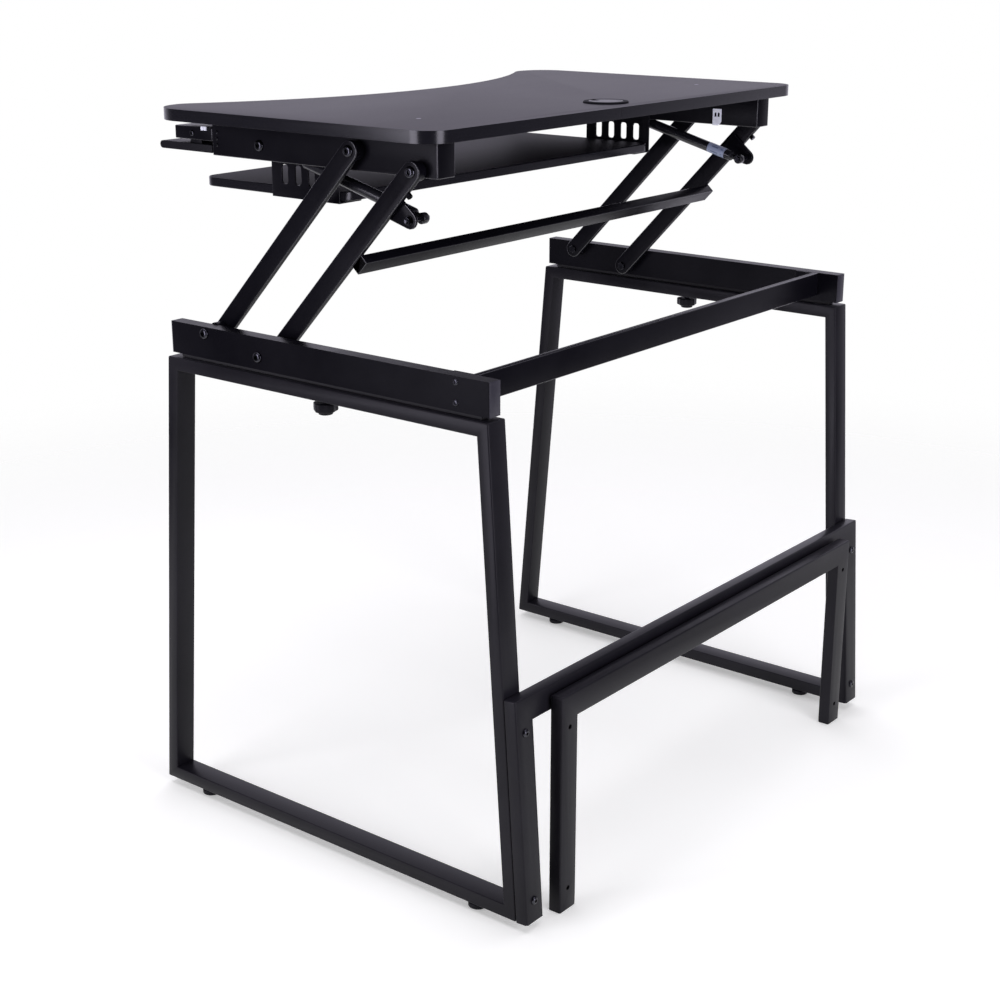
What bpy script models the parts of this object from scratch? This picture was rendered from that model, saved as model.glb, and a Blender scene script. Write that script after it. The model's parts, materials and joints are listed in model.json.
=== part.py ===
"""Standing desk riser on its floor stand: two tube side frames, braces, a parallel-arm riser with
gas springs, a shaped desktop, a keyboard tray and two lift levers.

Metres, +Z up.  The user stands at -Y and faces +Y, so the right-hand side is +X.  The origin is at
floor level under the middle of the whole object."""

from math import atan, atan2, cos, degrees, hypot, pi, radians, sin, sqrt

import bmesh
import bpy
from mathutils import Vector

# ---- driving dimensions: floor stand ---------------------------------------------------------
GAP = 0.0003                  # clearance between pieces that touch
SCREW_SIDES = 8               # facets round each kind of turned piece
BOLT_SIDES = 10
PIN_SIDES = 12
EYE_SIDES = 16
GROMMET_SIDES = 24
STAND_WIDTH = 0.860           # across the outer faces of the two side frames
STAND_HEIGHT = 0.630          # side frame without its levelling feet
STAND_DEPTH = 0.637           # side frame along its bottom bar
FRONT_SPLAY = 0.054           # how far the front leg leans out towards the user
REAR_SPLAY = 0.042            # how far the rear leg leans out to the back
TUBE_WIDE = 0.033             # stand tube, across the stand
TUBE_DEEP = 0.018             # stand tube, in the plane of its frame
TUBE_WALL = 0.0015
FOOT_HEIGHT = 0.0105          # levelling foot under the frame
FOOT_RADIUS = 0.0125
FOOT_INSET = 0.073            # foot from the end of the bottom bar
FOOT_STEM = 0.012             # thread standing up inside the bar
FOOT_STEM_RADIUS = 0.004

BRACE_HEIGHT = 0.295          # both U-shaped frames, along their legs
BRACE_BOLTS = (0.030, 0.252)  # bolt heights above the end of a brace leg
BRACE_BOLT_RADIUS = 0.003
PROP_WIDTH = 0.733            # across the second U-shaped frame
PROP_SPACER = 0.0025          # washer between the two U-shaped frames
PROP_BOLT_X = 0.240
PROP_BOLT_Z = 0.284
SCREW_HEAD_RADIUS = 0.0055
SCREW_HEAD = 0.003

# ---- driving dimensions: riser base ----------------------------------------------------------
RAIL_WIDE = 0.019
RAIL_TALL = 0.042
RAIL_WALL = 0.0016
RAIL_LENGTH = 0.533
RAIL_INSET = 0.0043           # front end of the rail behind the top of the front leg
CAP_FLANGE = 0.0015           # end cap outside the rail
CAP_PLUG = 0.012              # end cap inside the rail
PAD_THICKNESS = 0.0046        # rubber strip between rail and stand
PAD_WIDE = 0.013
PAD_INSET = 0.013
KNOB_RADIUS = 0.016
KNOB_HEIGHT = 0.015
KNOB_DROP = 0.004             # bare stud between stand and knob
KNOB_LOBES = 5
KNOB_LOBE_DEPTH = 0.0022
STUD_RADIUS = 0.004
CROSSBAR_DEEP = 0.0088
CROSSBAR_TALL = 0.0340
CROSSBAR_FROM_END = 0.0315    # its rear face ahead of the rear end of the rails
CROSSBAR_TAB = 0.028          # end flange that is screwed to the rail
CROSSBAR_TAB_THICK = 0.003

# ---- driving dimensions: arms ----------------------------------------------------------------
ARM_LENGTH = 0.340            # between pivots
ARM_ANGLE = 46.65             # degrees above horizontal, as modelled
ARM_WIDE = 0.026
ARM_THICK = 0.007
PIVOT_Y = 0.0615              # front lower pivot behind the front end of the rail
PIVOT_Z = 0.0329              # front lower pivot above the bottom of the rail
PIVOT_STEP = 0.097            # rear pivots behind the front pivots
PIVOT_DROP = 0.017            # rear pivots below the front pivots
PIVOT_RADIUS = 0.0035
BOLT_HEAD_RADIUS = 0.0072
BOLT_HEAD = 0.0036
NUT_RADIUS = 0.0062
NUT = 0.003
LOWER_SPACER = 0.0123         # between base rail and arm
UPPER_SPACER = 0.0093         # between arm and upper rail
SPACER_RADIUS = 0.0115
LINK_AT = 0.1975              # link bar along the rear arm from its lower pivot
LINK_WIDE = 0.0215
LINK_THICK = 0.0130
LINK_WALL = 0.0015

# ---- driving dimensions: gas springs ---------------------------------------------------------
LUG_ALONG = 0.0481            # spring eye along the rear arm from its upper pivot
LUG_OUT = 0.0329              # and out from the arm's centre line
LUG_THICK = 0.004
LUG_RADIUS = 0.0105
LUG_FOOT = (0.040, 0.070)     # stretch of the arm that carries the lug
ROD_PIN_Y = 0.2637            # front spring pin ahead of the rear upper pivot
ROD_PIN_Z = 0.0101            # and above it
GAS_RADIUS = 0.0075
GAS_BODY = 0.186
GAS_NECK = 0.0045             # neck between eye and body
GAS_NECK_RADIUS = 0.004
GAS_EYE = 0.0068
GAS_EYE_WIDE = 0.009
GAS_PIN_RADIUS = 0.0028
GAS_BORE = 0.084              # bore that the rod slides in
ROD_RADIUS = 0.003
ROD_LENGTH = 0.100            # from the middle of its eye
ROD_EYE = 0.0090
ROD_EYE_HOLE = 0.0065         # loose on its pin

# ---- driving dimensions: upper frame and desktop ---------------------------------------------
UPPER_WIDE = 0.0315           # channel open below
UPPER_TALL = 0.0435
UPPER_WALL = 0.002
UPPER_PIVOT_Z = 0.008         # rear upper pivot above the channel's lower edge
UPPER_REAR = 0.0277           # channel end behind the rear upper pivot
UPPER_FRONT = 0.3490          # channel end ahead of the rear upper pivot
TOP_WIDTH = 0.826
TOP_THICKNESS = 0.015
TOP_DEPTH = 0.478
TOP_REAR = 0.052              # rear edge behind the rear upper pivot
REAR_CORNER = 0.034
FRONT_CORNER = 0.048
CUT_DEPTH = 0.106             # user's cut-out in the front edge
CUT_RADIUS = 0.644            # its long arc
CUT_FILLET = 0.029            # round corner where it meets the front edge
GROMMET_RADIUS = 0.030
GROMMET_FROM_REAR = 0.053
GROMMET_SEAT = 0.0005         # rebate in the desktop that the flange lies in
GROMMET_FLANGE = 0.0027
GROMMET_LIP = 0.004           # flange overlap on the desktop
GROMMET_WALL = 0.002
GROMMET_LEDGE = 0.0015        # inner ledge that carries the cap
GROMMET_CAP = 0.003
GROMMET_SLOT = 0.010

# ---- driving dimensions: keyboard tray and levers --------------------------------------------
TRAY_THICKNESS = 0.012
TRAY_DEPTH = 0.2545
TRAY_REAR = 0.1544            # rear edge ahead of the rear upper pivot
TRAY_DROP = 0.0427            # top face below the rear upper pivot
TRAY_CORNER = 0.020
HANGER_REAR = 0.1594          # hanger's rear edge ahead of the rear upper pivot
HANGER_LENGTH = 0.117
HANGER_THICK = 0.002
HANGER_SHELF = 0.040          # how far it reaches in under the tray
HANGER_OVERLAP = 0.030        # how far it stands up beside the channel
SLOT_COUNT = 4
SLOT_WIDE = 0.011
SLOT_TALL = 0.0246
SLOT_STEP = 0.0232
SLOT_LIFT = 0.003             # slot above the tray's top face
HOUSING_LENGTH = 0.070        # ahead of the channel
HOUSING_TALL = 0.0165
HOUSING_WALL = 0.002
HOUSING_DROP = 0.010          # its top below the desktop
LEVER_PIVOT_Y = 0.0375        # lever pivot ahead of the channel's front end
LEVER_PIVOT_Z = 0.008         # and above the housing's lower edge
LEVER_PIN_RADIUS = 0.0025
LEVER_HEAD = 0.0058           # radius of the lever round its pin
LEVER_WEB = 0.020             # lever's width inside the housing
LEVER_THICK = 0.010
LEVER_GAP = 0.005             # squeeze travel between grip and housing
LEVER_FRONT = 0.0632          # grip tip ahead of the lever pivot
LEVER_BACK = 0.0360           # grip end behind it

# ---- places that follow from them ------------------------------------------------------------
LEAN = atan(REAR_SPLAY / STAND_HEIGHT)
BRACE_SHIFT = GAP / cos(LEAN) + TUBE_DEEP * cos(LEAN)
PROP_FRONT = BRACE_SHIFT - (BRACE_HEIGHT - TUBE_WIDE) * sin(LEAN) + PROP_SPACER
PROP_HOLE_RADIUS = BRACE_BOLT_RADIUS + GAP + TUBE_DEEP * sin(LEAN)     # level screw, leaning brace
FRONT_Y = -(STAND_DEPTH + max(BRACE_SHIFT, PROP_FRONT + TUBE_DEEP)) / 2
REAR_Y = FRONT_Y + STAND_DEPTH
STAND_TOP = FOOT_HEIGHT + STAND_HEIGHT
SIDE_X = (STAND_WIDTH - TUBE_WIDE) / 2              # centre plane of side frames and base rails
RAIL_FRONT = FRONT_Y + FRONT_SPLAY + RAIL_INSET
RAIL_REAR = RAIL_FRONT + RAIL_LENGTH
RAIL_BOTTOM = STAND_TOP + PAD_THICKNESS
RAIL_TOP = RAIL_BOTTOM + RAIL_TALL
RAIL_INNER = SIDE_X - RAIL_WIDE / 2
KNOB_Y = RAIL_FRONT + RAIL_LENGTH / 2
ARM_OUTER = RAIL_INNER - LOWER_SPACER
ARM_INNER = ARM_OUTER - ARM_THICK
UPPER_OUTER = ARM_INNER - UPPER_SPACER
UPPER_INNER = UPPER_OUTER - UPPER_WIDE
GAS_X = (UPPER_OUTER + UPPER_INNER) / 2
TRAY_HALF = UPPER_INNER - HANGER_THICK - 2 * GAP
THETA = radians(ARM_ANGLE)
ARM_RUN = ARM_LENGTH * cos(THETA)
ARM_RISE = ARM_LENGTH * sin(THETA)
LOWER_FRONT = (RAIL_FRONT + PIVOT_Y, RAIL_BOTTOM + PIVOT_Z)
LOWER_REAR = (LOWER_FRONT[0] + PIVOT_STEP, LOWER_FRONT[1] - PIVOT_DROP)
UPPER_PIVOT_FRONT = (LOWER_FRONT[0] + ARM_RUN, LOWER_FRONT[1] + ARM_RISE)
UPPER_PIVOT_REAR = (LOWER_REAR[0] + ARM_RUN, LOWER_REAR[1] + ARM_RISE)
HUB_Y, HUB_Z = UPPER_PIVOT_REAR
UPPER_BOTTOM = HUB_Z - UPPER_PIVOT_Z
TOP_BOTTOM = UPPER_BOTTOM + UPPER_TALL + GAP
TOP_TOP = TOP_BOTTOM + TOP_THICKNESS
CHANNEL_FRONT = HUB_Y - UPPER_FRONT
LUG = (HUB_Y - LUG_ALONG * cos(THETA) + LUG_OUT * sin(THETA),
       HUB_Z - LUG_ALONG * sin(THETA) - LUG_OUT * cos(THETA))
ROD_PIN = (HUB_Y - ROD_PIN_Y, HUB_Z + ROD_PIN_Z)
GAS_ANGLE = atan2(ROD_PIN[1] - LUG[1], LUG[0] - ROD_PIN[0])
GAS_LENGTH = hypot(ROD_PIN[0] - LUG[0], ROD_PIN[1] - LUG[1])
HOUSING_BOTTOM = TOP_BOTTOM - HOUSING_DROP - HOUSING_TALL
LEVER_PIVOT = (CHANNEL_FRONT - LEVER_PIVOT_Y, HOUSING_BOTTOM + LEVER_PIVOT_Z)
GROMMET_Y = HUB_Y + TOP_REAR - GROMMET_FROM_REAR
SIDES = (("right", 1), ("left", -1))


# ---- tools -----------------------------------------------------------------------------------
def clear_scene():
    for old in list(bpy.data.objects):
        bpy.data.objects.remove(old, do_unlink=True)


def material(name, colour, roughness, metallic):
    made = bpy.data.materials.new(name)
    made.use_nodes = True
    shader = made.node_tree.nodes["Principled BSDF"]
    shader.inputs["Base Color"].default_value = (*colour, 1)
    shader.inputs["Roughness"].default_value = roughness
    shader.inputs["Metallic"].default_value = metallic
    return made


def add_object(name, mesh, look):
    made = bpy.data.objects.new(name, mesh)
    bpy.context.scene.collection.objects.link(made)
    if look:
        mesh.materials.append(look)
    return made


def mesh_from(name, verts, faces):
    mesh = bpy.data.meshes.new(name)
    mesh.from_pydata(verts, [], faces)
    work = bmesh.new()
    work.from_mesh(mesh)
    bmesh.ops.recalc_face_normals(work, faces=work.faces)
    work.to_mesh(mesh)
    work.free()
    return mesh


def in_space(axis, a, b, along):
    """A point from its two plane coordinates, in the order X, Y, Z, and its place on the axis."""
    return {"X": (along, a, b), "Y": (a, along, b), "Z": (a, b, along)}[axis]


def prism(name, outline, axis, low, high, look=None):
    count = len(outline)
    verts = [in_space(axis, a, b, end) for end in (low, high) for a, b in outline]
    faces = [tuple(range(count)), tuple(range(count, 2 * count))]
    for i in range(count):
        j = (i + 1) % count
        faces.append((i, j, count + j, count + i))
    return add_object(name, mesh_from(name, verts, faces), look)


def ring_prism(name, outer, inner, axis, low, high, look=None):
    """A flat ring between two outlines with as many points, extruded along the axis."""
    count = len(outer)
    verts = [in_space(axis, a, b, end) for end in (low, high) for a, b in outer + inner]
    faces = []
    for i in range(count):
        j = (i + 1) % count
        for base in (0, 2 * count):
            faces.append((base + i, base + j, base + count + j, base + count + i))
        faces.append((i, j, 2 * count + j, 2 * count + i))
        faces.append((count + i, count + j, 3 * count + j, 3 * count + i))
    return add_object(name, mesh_from(name, verts, faces), look)


def box(name, low, high, look=None):
    outline = [(low[0], low[1]), (high[0], low[1]), (high[0], high[1]), (low[0], high[1])]
    return prism(name, outline, "Z", low[2], high[2], look)


def arc(centre, radius, start, end, steps):
    """Points on an arc, angles in degrees, both ends included."""
    points = []
    for i in range(steps + 1):
        angle = radians(start + (end - start) * i / steps)
        points.append((centre[0] + radius * cos(angle), centre[1] + radius * sin(angle)))
    return points


def circle(centre, radius, segments):
    return arc(centre, radius, 0, 360 * (segments - 1) / segments, segments - 1)


def rounded_box(low, high, radius, steps):
    """Outline of a rectangle with round corners."""
    points = []
    corners = ((high[0] - radius, high[1] - radius, 0), (low[0] + radius, high[1] - radius, 90),
               (low[0] + radius, low[1] + radius, 180), (high[0] - radius, low[1] + radius, 270))
    for x, y, start in corners:
        points += arc((x, y), radius, start, start + 90, steps)
    return points


def turned(name, profile, axis, centre, segments, look=None, ring=False):
    """Turns (radius, along) points about an axis through centre; a ring's profile is closed."""
    verts = []
    rows = []
    for radius, along in profile:
        if radius == 0:
            rows.append([len(verts)] * segments)
            verts.append(in_space(axis, centre[0], centre[1], along))
            continue
        rows.append([len(verts) + i for i in range(segments)])
        for i in range(segments):
            turn = 2 * pi * i / segments
            point = (centre[0] + radius * cos(turn), centre[1] + radius * sin(turn))
            verts.append(in_space(axis, *point, along))
    faces = []
    pairs = list(zip(rows, rows[1:] + rows[:1])) if ring else list(zip(rows, rows[1:]))
    for first, second in pairs:
        for i in range(segments):
            j = (i + 1) % segments
            corners = [first[i], first[j], second[j], second[i]]
            faces.append(tuple(dict.fromkeys(corners)))
    made = add_object(name, mesh_from(name, verts, faces), look)
    smooth(made)
    return made


def smooth(made):
    made.data.shade_smooth()
    made.data.set_sharp_from_angle(angle=radians(35))


def combine(made, tool, operation):
    """Cuts or joins a tool that was made in the same local coordinates."""
    step = made.modifiers.new(operation.lower() + " " + tool.name, "BOOLEAN")
    step.operation = operation
    step.solver = "EXACT"
    step.object = tool
    tool.hide_render = True
    tool.display_type = "WIRE"
    tool.parent = made


def cut(made, tool):
    combine(made, tool, "DIFFERENCE")


def add(made, tool):
    combine(made, tool, "UNION")


def bore(made, axis, centre, radius, low, high):
    tool = prism(made.name + "_bore", circle(centre, radius, BOLT_SIDES), axis, low, high)
    cut(made, tool)


def offset_outline(outline, distance):
    """Moves each side of a convex counter-clockwise outline inwards by distance."""
    moved = []
    count = len(outline)
    for i in range(count):
        before = Vector(outline[i]) - Vector(outline[i - 1])
        after = Vector(outline[(i + 1) % count]) - Vector(outline[i])
        n1 = Vector((-before.y, before.x)).normalized()
        n2 = Vector((-after.y, after.x)).normalized()
        shift = (n1 + n2) * distance / (1 + n1.dot(n2))
        moved.append((outline[i][0] + shift.x, outline[i][1] + shift.y))
    return moved


def hull(points):
    """Convex hull of plane points, counter-clockwise."""
    def half(ordered):
        chain = []
        for p in ordered:
            while len(chain) > 1:
                u = (chain[-1][0] - chain[-2][0], chain[-1][1] - chain[-2][1])
                v = (p[0] - chain[-2][0], p[1] - chain[-2][1])
                if u[0] * v[1] - u[1] * v[0] > 0:
                    break
                chain.pop()
            chain.append(p)
        return chain[:-1]
    ordered = sorted(points)
    return half(ordered) + half(ordered[::-1])


def empty(name, location, parent=None):
    made = bpy.data.objects.new(name, None)
    made.empty_display_size = 0.03
    bpy.context.scene.collection.objects.link(made)
    made.location = location
    if parent:
        attach(made, parent)
    return made


def attach(item, parent):
    """Parents an item that was placed in world coordinates, and leaves it where it is."""
    item.parent = parent
    item.matrix_parent_inverse = parent.matrix_basis.inverted()


def mirrored(low, high, side):
    """An X interval, given for the right-hand side, on the wanted side."""
    return (low, high) if side > 0 else (-high, -low)


# ---- floor stand -----------------------------------------------------------------------------
def side_frame(side, sign, steel):
    bottom, top = FOOT_HEIGHT, STAND_TOP
    outer = [(FRONT_Y, bottom), (REAR_Y, bottom), (REAR_Y - REAR_SPLAY, top), (FRONT_Y + FRONT_SPLAY, top)]
    window = offset_outline(outer, TUBE_DEEP)
    low, high = mirrored(SIDE_X - TUBE_WIDE / 2, SIDE_X + TUBE_WIDE / 2, sign)
    frame = ring_prism("side_frame_" + side, outer, window, "X", low, high, steel)
    core = offset_outline(outer, TUBE_WALL)
    core_window = offset_outline(outer, TUBE_DEEP - TUBE_WALL)
    cut(frame, ring_prism("tube_core", core, core_window, "X", low + TUBE_WALL, high - TUBE_WALL))
    centre = sign * SIDE_X
    for y in (FRONT_Y + FOOT_INSET, REAR_Y - FOOT_INSET):
        bore(frame, "Z", (centre, y), FOOT_STEM_RADIUS + GAP, bottom - GAP, bottom + 2 * TUBE_WALL)
    bore(frame, "Z", (centre, KNOB_Y), STUD_RADIUS + GAP, top - TUBE_DEEP - GAP, top + GAP)
    for height in BRACE_BOLTS:
        y = REAR_Y - height * sin(LEAN)
        z = bottom + height * cos(LEAN)
        bore(frame, "Y", (centre, z), BRACE_BOLT_RADIUS + GAP, y - 2 * TUBE_WALL, y + TUBE_WALL)
    return frame


def u_frame(name, width, steel, bolt_xs):
    """An upturned U of tube in its own XZ plane, feet at z = 0 and front face at y = 0."""
    half, inner = width / 2, width / 2 - TUBE_WIDE
    bar = BRACE_HEIGHT - TUBE_WIDE
    outline = [(-half, 0), (-inner, 0), (-inner, bar), (inner, bar), (inner, 0), (half, 0),
               (half, BRACE_HEIGHT), (-half, BRACE_HEIGHT)]
    frame = prism(name, outline, "Y", 0, TUBE_DEEP, steel)
    w = TUBE_WALL
    low, roof = bar + w, BRACE_HEIGHT - w
    core = [(-half + w, -w), (-inner - w, -w), (-inner - w, low), (inner + w, low),
            (inner + w, -w), (half - w, -w), (half - w, roof), (-half + w, roof)]
    cut(frame, prism("tube_core", core, "Y", w, TUBE_DEEP - w))
    for x in bolt_xs:
        for z in BRACE_BOLTS:
            bore(frame, "Y", (x, z), BRACE_BOLT_RADIUS + GAP, -w, TUBE_DEEP + w)
    return frame


def screw(name, x, z, look, head_from, tip):
    """A domed screw along Y, its head at the rear, from head_from; the shank ends at tip."""
    r, h = SCREW_HEAD_RADIUS, SCREW_HEAD
    profile = [(0, tip), (BRACE_BOLT_RADIUS, tip), (BRACE_BOLT_RADIUS, head_from), (r, head_from),
               (r, head_from + 0.35 * h), (0.7 * r, head_from + 0.85 * h), (0, head_from + h)]
    return turned(name, profile, "Y", (x, z), SCREW_SIDES, look)


def rear_brace(steel, zinc):
    leg_x = (STAND_WIDTH - TUBE_WIDE) / 2
    brace = u_frame("rear_brace", STAND_WIDTH, steel, (-leg_x, leg_x))
    for x in (-PROP_BOLT_X, PROP_BOLT_X):
        z = (PROP_BOLT_Z - FOOT_HEIGHT) / cos(LEAN)
        bore(brace, "Y", (x, z), PROP_HOLE_RADIUS, -TUBE_WALL, TUBE_DEEP + TUBE_WALL)
    leaning = [brace]
    for side, sign in SIDES:
        for place, height in zip(("lower", "upper"), BRACE_BOLTS):
            name = f"brace_bolt_{place}_{side}"
            leaning.append(screw(name, sign * leg_x, height, zinc, TUBE_DEEP + GAP, -3 * TUBE_WALL))
    for made in leaning:
        made.location = (0, REAR_Y + GAP / cos(LEAN), FOOT_HEIGHT)
        made.rotation_euler.x = LEAN


def prop_frame(steel, zinc):
    """The narrower U, upright on the floor and screwed to the back of the rear brace."""
    leg_x = (PROP_WIDTH - TUBE_WIDE) / 2
    prop = u_frame("prop_frame", PROP_WIDTH, steel, (-leg_x, leg_x))
    prop.location = (0, REAR_Y + PROP_FRONT, 0)
    face = REAR_Y + PROP_FRONT
    head = REAR_Y - (PROP_BOLT_Z - FOOT_HEIGHT) * sin(LEAN) - 2 * GAP
    r, shank = SCREW_HEAD_RADIUS, BRACE_BOLT_RADIUS
    collar = face - GAP - 0.9 * PROP_SPACER
    profile = [(0, head - SCREW_HEAD), (0.7 * r, head - 0.85 * SCREW_HEAD), (r, head - 0.35 * SCREW_HEAD),
               (r, head), (shank, head), (shank, collar), (2 * shank, collar), (2 * shank, face - GAP),
               (shank, face - GAP), (shank, face + 3 * TUBE_WALL), (0, face + 3 * TUBE_WALL)]
    for side, sign in SIDES:
        x = sign * PROP_BOLT_X
        bore(prop, "Y", (x, PROP_BOLT_Z), shank + GAP, -TUBE_WALL, 2 * TUBE_WALL)
        turned("prop_bolt_" + side, profile, "Y", (x, PROP_BOLT_Z), SCREW_SIDES, zinc)


def levelling_feet(plastic):
    for side, sign in SIDES:
        for place, y in (("front", FRONT_Y + FOOT_INSET), ("rear", REAR_Y - FOOT_INSET)):
            name = f"levelling_foot_{place}_{side}"
            centre = (sign * SIDE_X, y)
            rim = FOOT_HEIGHT - GAP
            profile = [(0, 0), (0.88 * FOOT_RADIUS, 0), (FOOT_RADIUS, 0.15 * rim), (FOOT_RADIUS, 0.6 * rim),
                       (0.7 * FOOT_RADIUS, rim), (FOOT_STEM_RADIUS, rim),
                       (FOOT_STEM_RADIUS, rim + FOOT_STEM), (0, rim + FOOT_STEM)]
            foot = turned(name, profile, "Z", centre, PIN_SIDES, plastic)
            attach(foot, empty(name + "_axis", (*centre, 0)))


def clamp_knobs(plastic):
    """Lobed knobs whose studs come up through the stand into the base rails."""
    top = STAND_TOP - TUBE_DEEP - KNOB_DROP
    for side, sign in SIDES:
        centre = (sign * SIDE_X, KNOB_Y)
        outline = []
        steps = 8 * KNOB_LOBES
        for i in range(steps):
            turn = 2 * pi * i / steps
            radius = KNOB_RADIUS - KNOB_LOBE_DEPTH * (1 - cos(KNOB_LOBES * turn)) / 2
            outline.append((centre[0] + radius * cos(turn), centre[1] + radius * sin(turn)))
        knob = prism("clamp_knob_" + side, outline, "Z", top - 0.72 * KNOB_HEIGHT, top, plastic)
        bottom = top - KNOB_HEIGHT
        hub = [(0, bottom), (0.55 * KNOB_RADIUS, bottom), (0.6 * KNOB_RADIUS, top - 0.5 * KNOB_HEIGHT),
               (0, top - 0.5 * KNOB_HEIGHT)]
        add(knob, turned("knob_hub", hub, "Z", centre, EYE_SIDES))
        stud_top = RAIL_BOTTOM + 4 * RAIL_WALL
        stud = circle(centre, STUD_RADIUS, PIN_SIDES)
        add(knob, prism("knob_stud", stud, "Z", top - 0.2 * KNOB_HEIGHT, stud_top))
        attach(knob, empty(f"clamp_knob_{side}_axis", (*centre, top)))


# ---- riser base ------------------------------------------------------------------------------
def base_rail(side, sign, steel, plastic, rubber):
    low, high = mirrored(SIDE_X - RAIL_WIDE / 2, SIDE_X + RAIL_WIDE / 2, sign)
    rail = box("base_rail_" + side, (low, RAIL_FRONT, RAIL_BOTTOM), (high, RAIL_REAR, RAIL_TOP), steel)
    w = RAIL_WALL
    core_low = (low + w, RAIL_FRONT - w, RAIL_BOTTOM + w)
    cut(rail, box("rail_core", core_low, (high - w, RAIL_REAR + w, RAIL_TOP - w)))
    for pivot in (LOWER_FRONT, LOWER_REAR):
        bore(rail, "X", pivot, PIVOT_RADIUS + GAP, low - w, high + w)
    bore(rail, "Z", (sign * SIDE_X, KNOB_Y), STUD_RADIUS + GAP, RAIL_BOTTOM - w, RAIL_BOTTOM + 2 * w)
    for place, end, out in (("front", RAIL_FRONT, -1), ("rear", RAIL_REAR, 1)):
        rail_cap(f"rail_cap_{place}_{side}", low, high, end, out, plastic)
    half = PAD_WIDE / 2
    pad = box("rail_pad_" + side, (sign * SIDE_X - half, RAIL_FRONT + PAD_INSET, STAND_TOP + GAP),
              (sign * SIDE_X + half, RAIL_REAR - PAD_INSET, RAIL_BOTTOM - GAP), rubber)
    bore(pad, "Z", (sign * SIDE_X, KNOB_Y), STUD_RADIUS + GAP, STAND_TOP - GAP, RAIL_BOTTOM + GAP)


def rail_cap(name, low, high, end, out, plastic):
    """A flange over the end of the tube, and a plug inside it."""
    inner = RAIL_WALL + GAP
    ends = sorted((end + out * GAP, end + out * (GAP + CAP_FLANGE)))
    cap = box(name, (low, ends[0], RAIL_BOTTOM), (high, ends[1], RAIL_TOP), plastic)
    ends = sorted((end + out * 2 * GAP, end - out * CAP_PLUG))
    plug_low = (low + inner, ends[0], RAIL_BOTTOM + inner)
    add(cap, box("cap_plug", plug_low, (high - inner, ends[1], RAIL_TOP - inner)))


def rear_crossbar(steel):
    """A flat bar between the rails, with an end flange along each rail."""
    rear = RAIL_REAR - CROSSBAR_FROM_END
    front = rear - CROSSBAR_DEEP
    reach = RAIL_INNER - GAP
    inner = reach - CROSSBAR_TAB_THICK
    tab = front - CROSSBAR_TAB
    outline = [(-reach, rear), (-reach, tab), (-inner, tab), (-inner, front),
               (inner, front), (inner, tab), (reach, tab), (reach, rear)]
    prism("rear_crossbar", outline, "Z", RAIL_TOP - CROSSBAR_TALL, RAIL_TOP, steel)


# ---- arms ------------------------------------------------------------------------------------
def arm(name, side_low, side_high, pivot, steel):
    """A flat bar with round ends, made along +Y from its lower pivot and then raised."""
    half = ARM_WIDE / 2
    outline = arc((ARM_LENGTH, 0), half, -90, 90, 10) + arc((0, 0), half, 90, 270, 10)
    made = prism(name, outline, "X", side_low, side_high, steel)
    for y in (0, ARM_LENGTH):
        bore(made, "X", (y, 0), PIVOT_RADIUS + GAP, side_low - ARM_THICK, side_high + ARM_THICK)
    made.location = (0, *pivot)
    made.rotation_euler.x = THETA
    return made


def link_bar(steel):
    """The tube that joins the rear arms, on their rear edges."""
    start = ARM_WIDE / 2 + GAP
    half = LINK_WIDE / 2
    outline = [(LINK_AT - half, -start - LINK_THICK), (LINK_AT + half, -start - LINK_THICK),
               (LINK_AT + half, -start), (LINK_AT - half, -start)]
    made = prism("link_bar", outline, "X", -ARM_OUTER, ARM_OUTER, steel)
    core = offset_outline(outline, LINK_WALL)
    cut(made, prism("tube_core", core, "X", -ARM_OUTER - LINK_WALL, ARM_OUTER + LINK_WALL))
    made.location = (0, *LOWER_REAR)
    made.rotation_euler.x = THETA
    return made


def pivot_bolt(name, sign, pivot, stations, look):
    """Bolt, spacer and nut on one X axis; stations run inwards from the outside of the head."""
    head, bearing, spacer_out, spacer_in, nut_from, end = stations
    r = PIVOT_RADIUS
    h = BOLT_HEAD_RADIUS
    profile = [(0, head), (0.72 * h, head - 0.15 * BOLT_HEAD), (h, head - 0.6 * BOLT_HEAD), (h, bearing),
               (r, bearing), (r, spacer_out), (SPACER_RADIUS, spacer_out), (SPACER_RADIUS, spacer_in),
               (r, spacer_in), (r, nut_from)]
    if end < nut_from:
        profile += [(NUT_RADIUS, nut_from), (NUT_RADIUS, end)]
    profile.append((0, end))
    profile = [(radius, sign * x) for radius, x in profile]
    return turned(name, profile, "X", pivot, BOLT_SIDES, look)


def lower_pivot_bolt(place, side, sign, pivot, look):
    outer = SIDE_X + RAIL_WIDE / 2 + GAP
    stations = (outer + BOLT_HEAD, outer, RAIL_INNER - GAP, ARM_OUTER + GAP,
                ARM_INNER - GAP, ARM_INNER - GAP - NUT)
    return pivot_bolt(f"lower_pivot_{place}_{side}", sign, pivot, stations, look)


def upper_pivot_bolt(place, side, sign, pivot, look):
    outer = ARM_OUTER + GAP
    inside = UPPER_OUTER - UPPER_WALL - GAP
    stations = (outer + BOLT_HEAD, outer, ARM_INNER - GAP, UPPER_OUTER + GAP, inside, inside - NUT)
    return pivot_bolt(f"upper_pivot_{place}_{side}", sign, pivot, stations, look)


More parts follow.
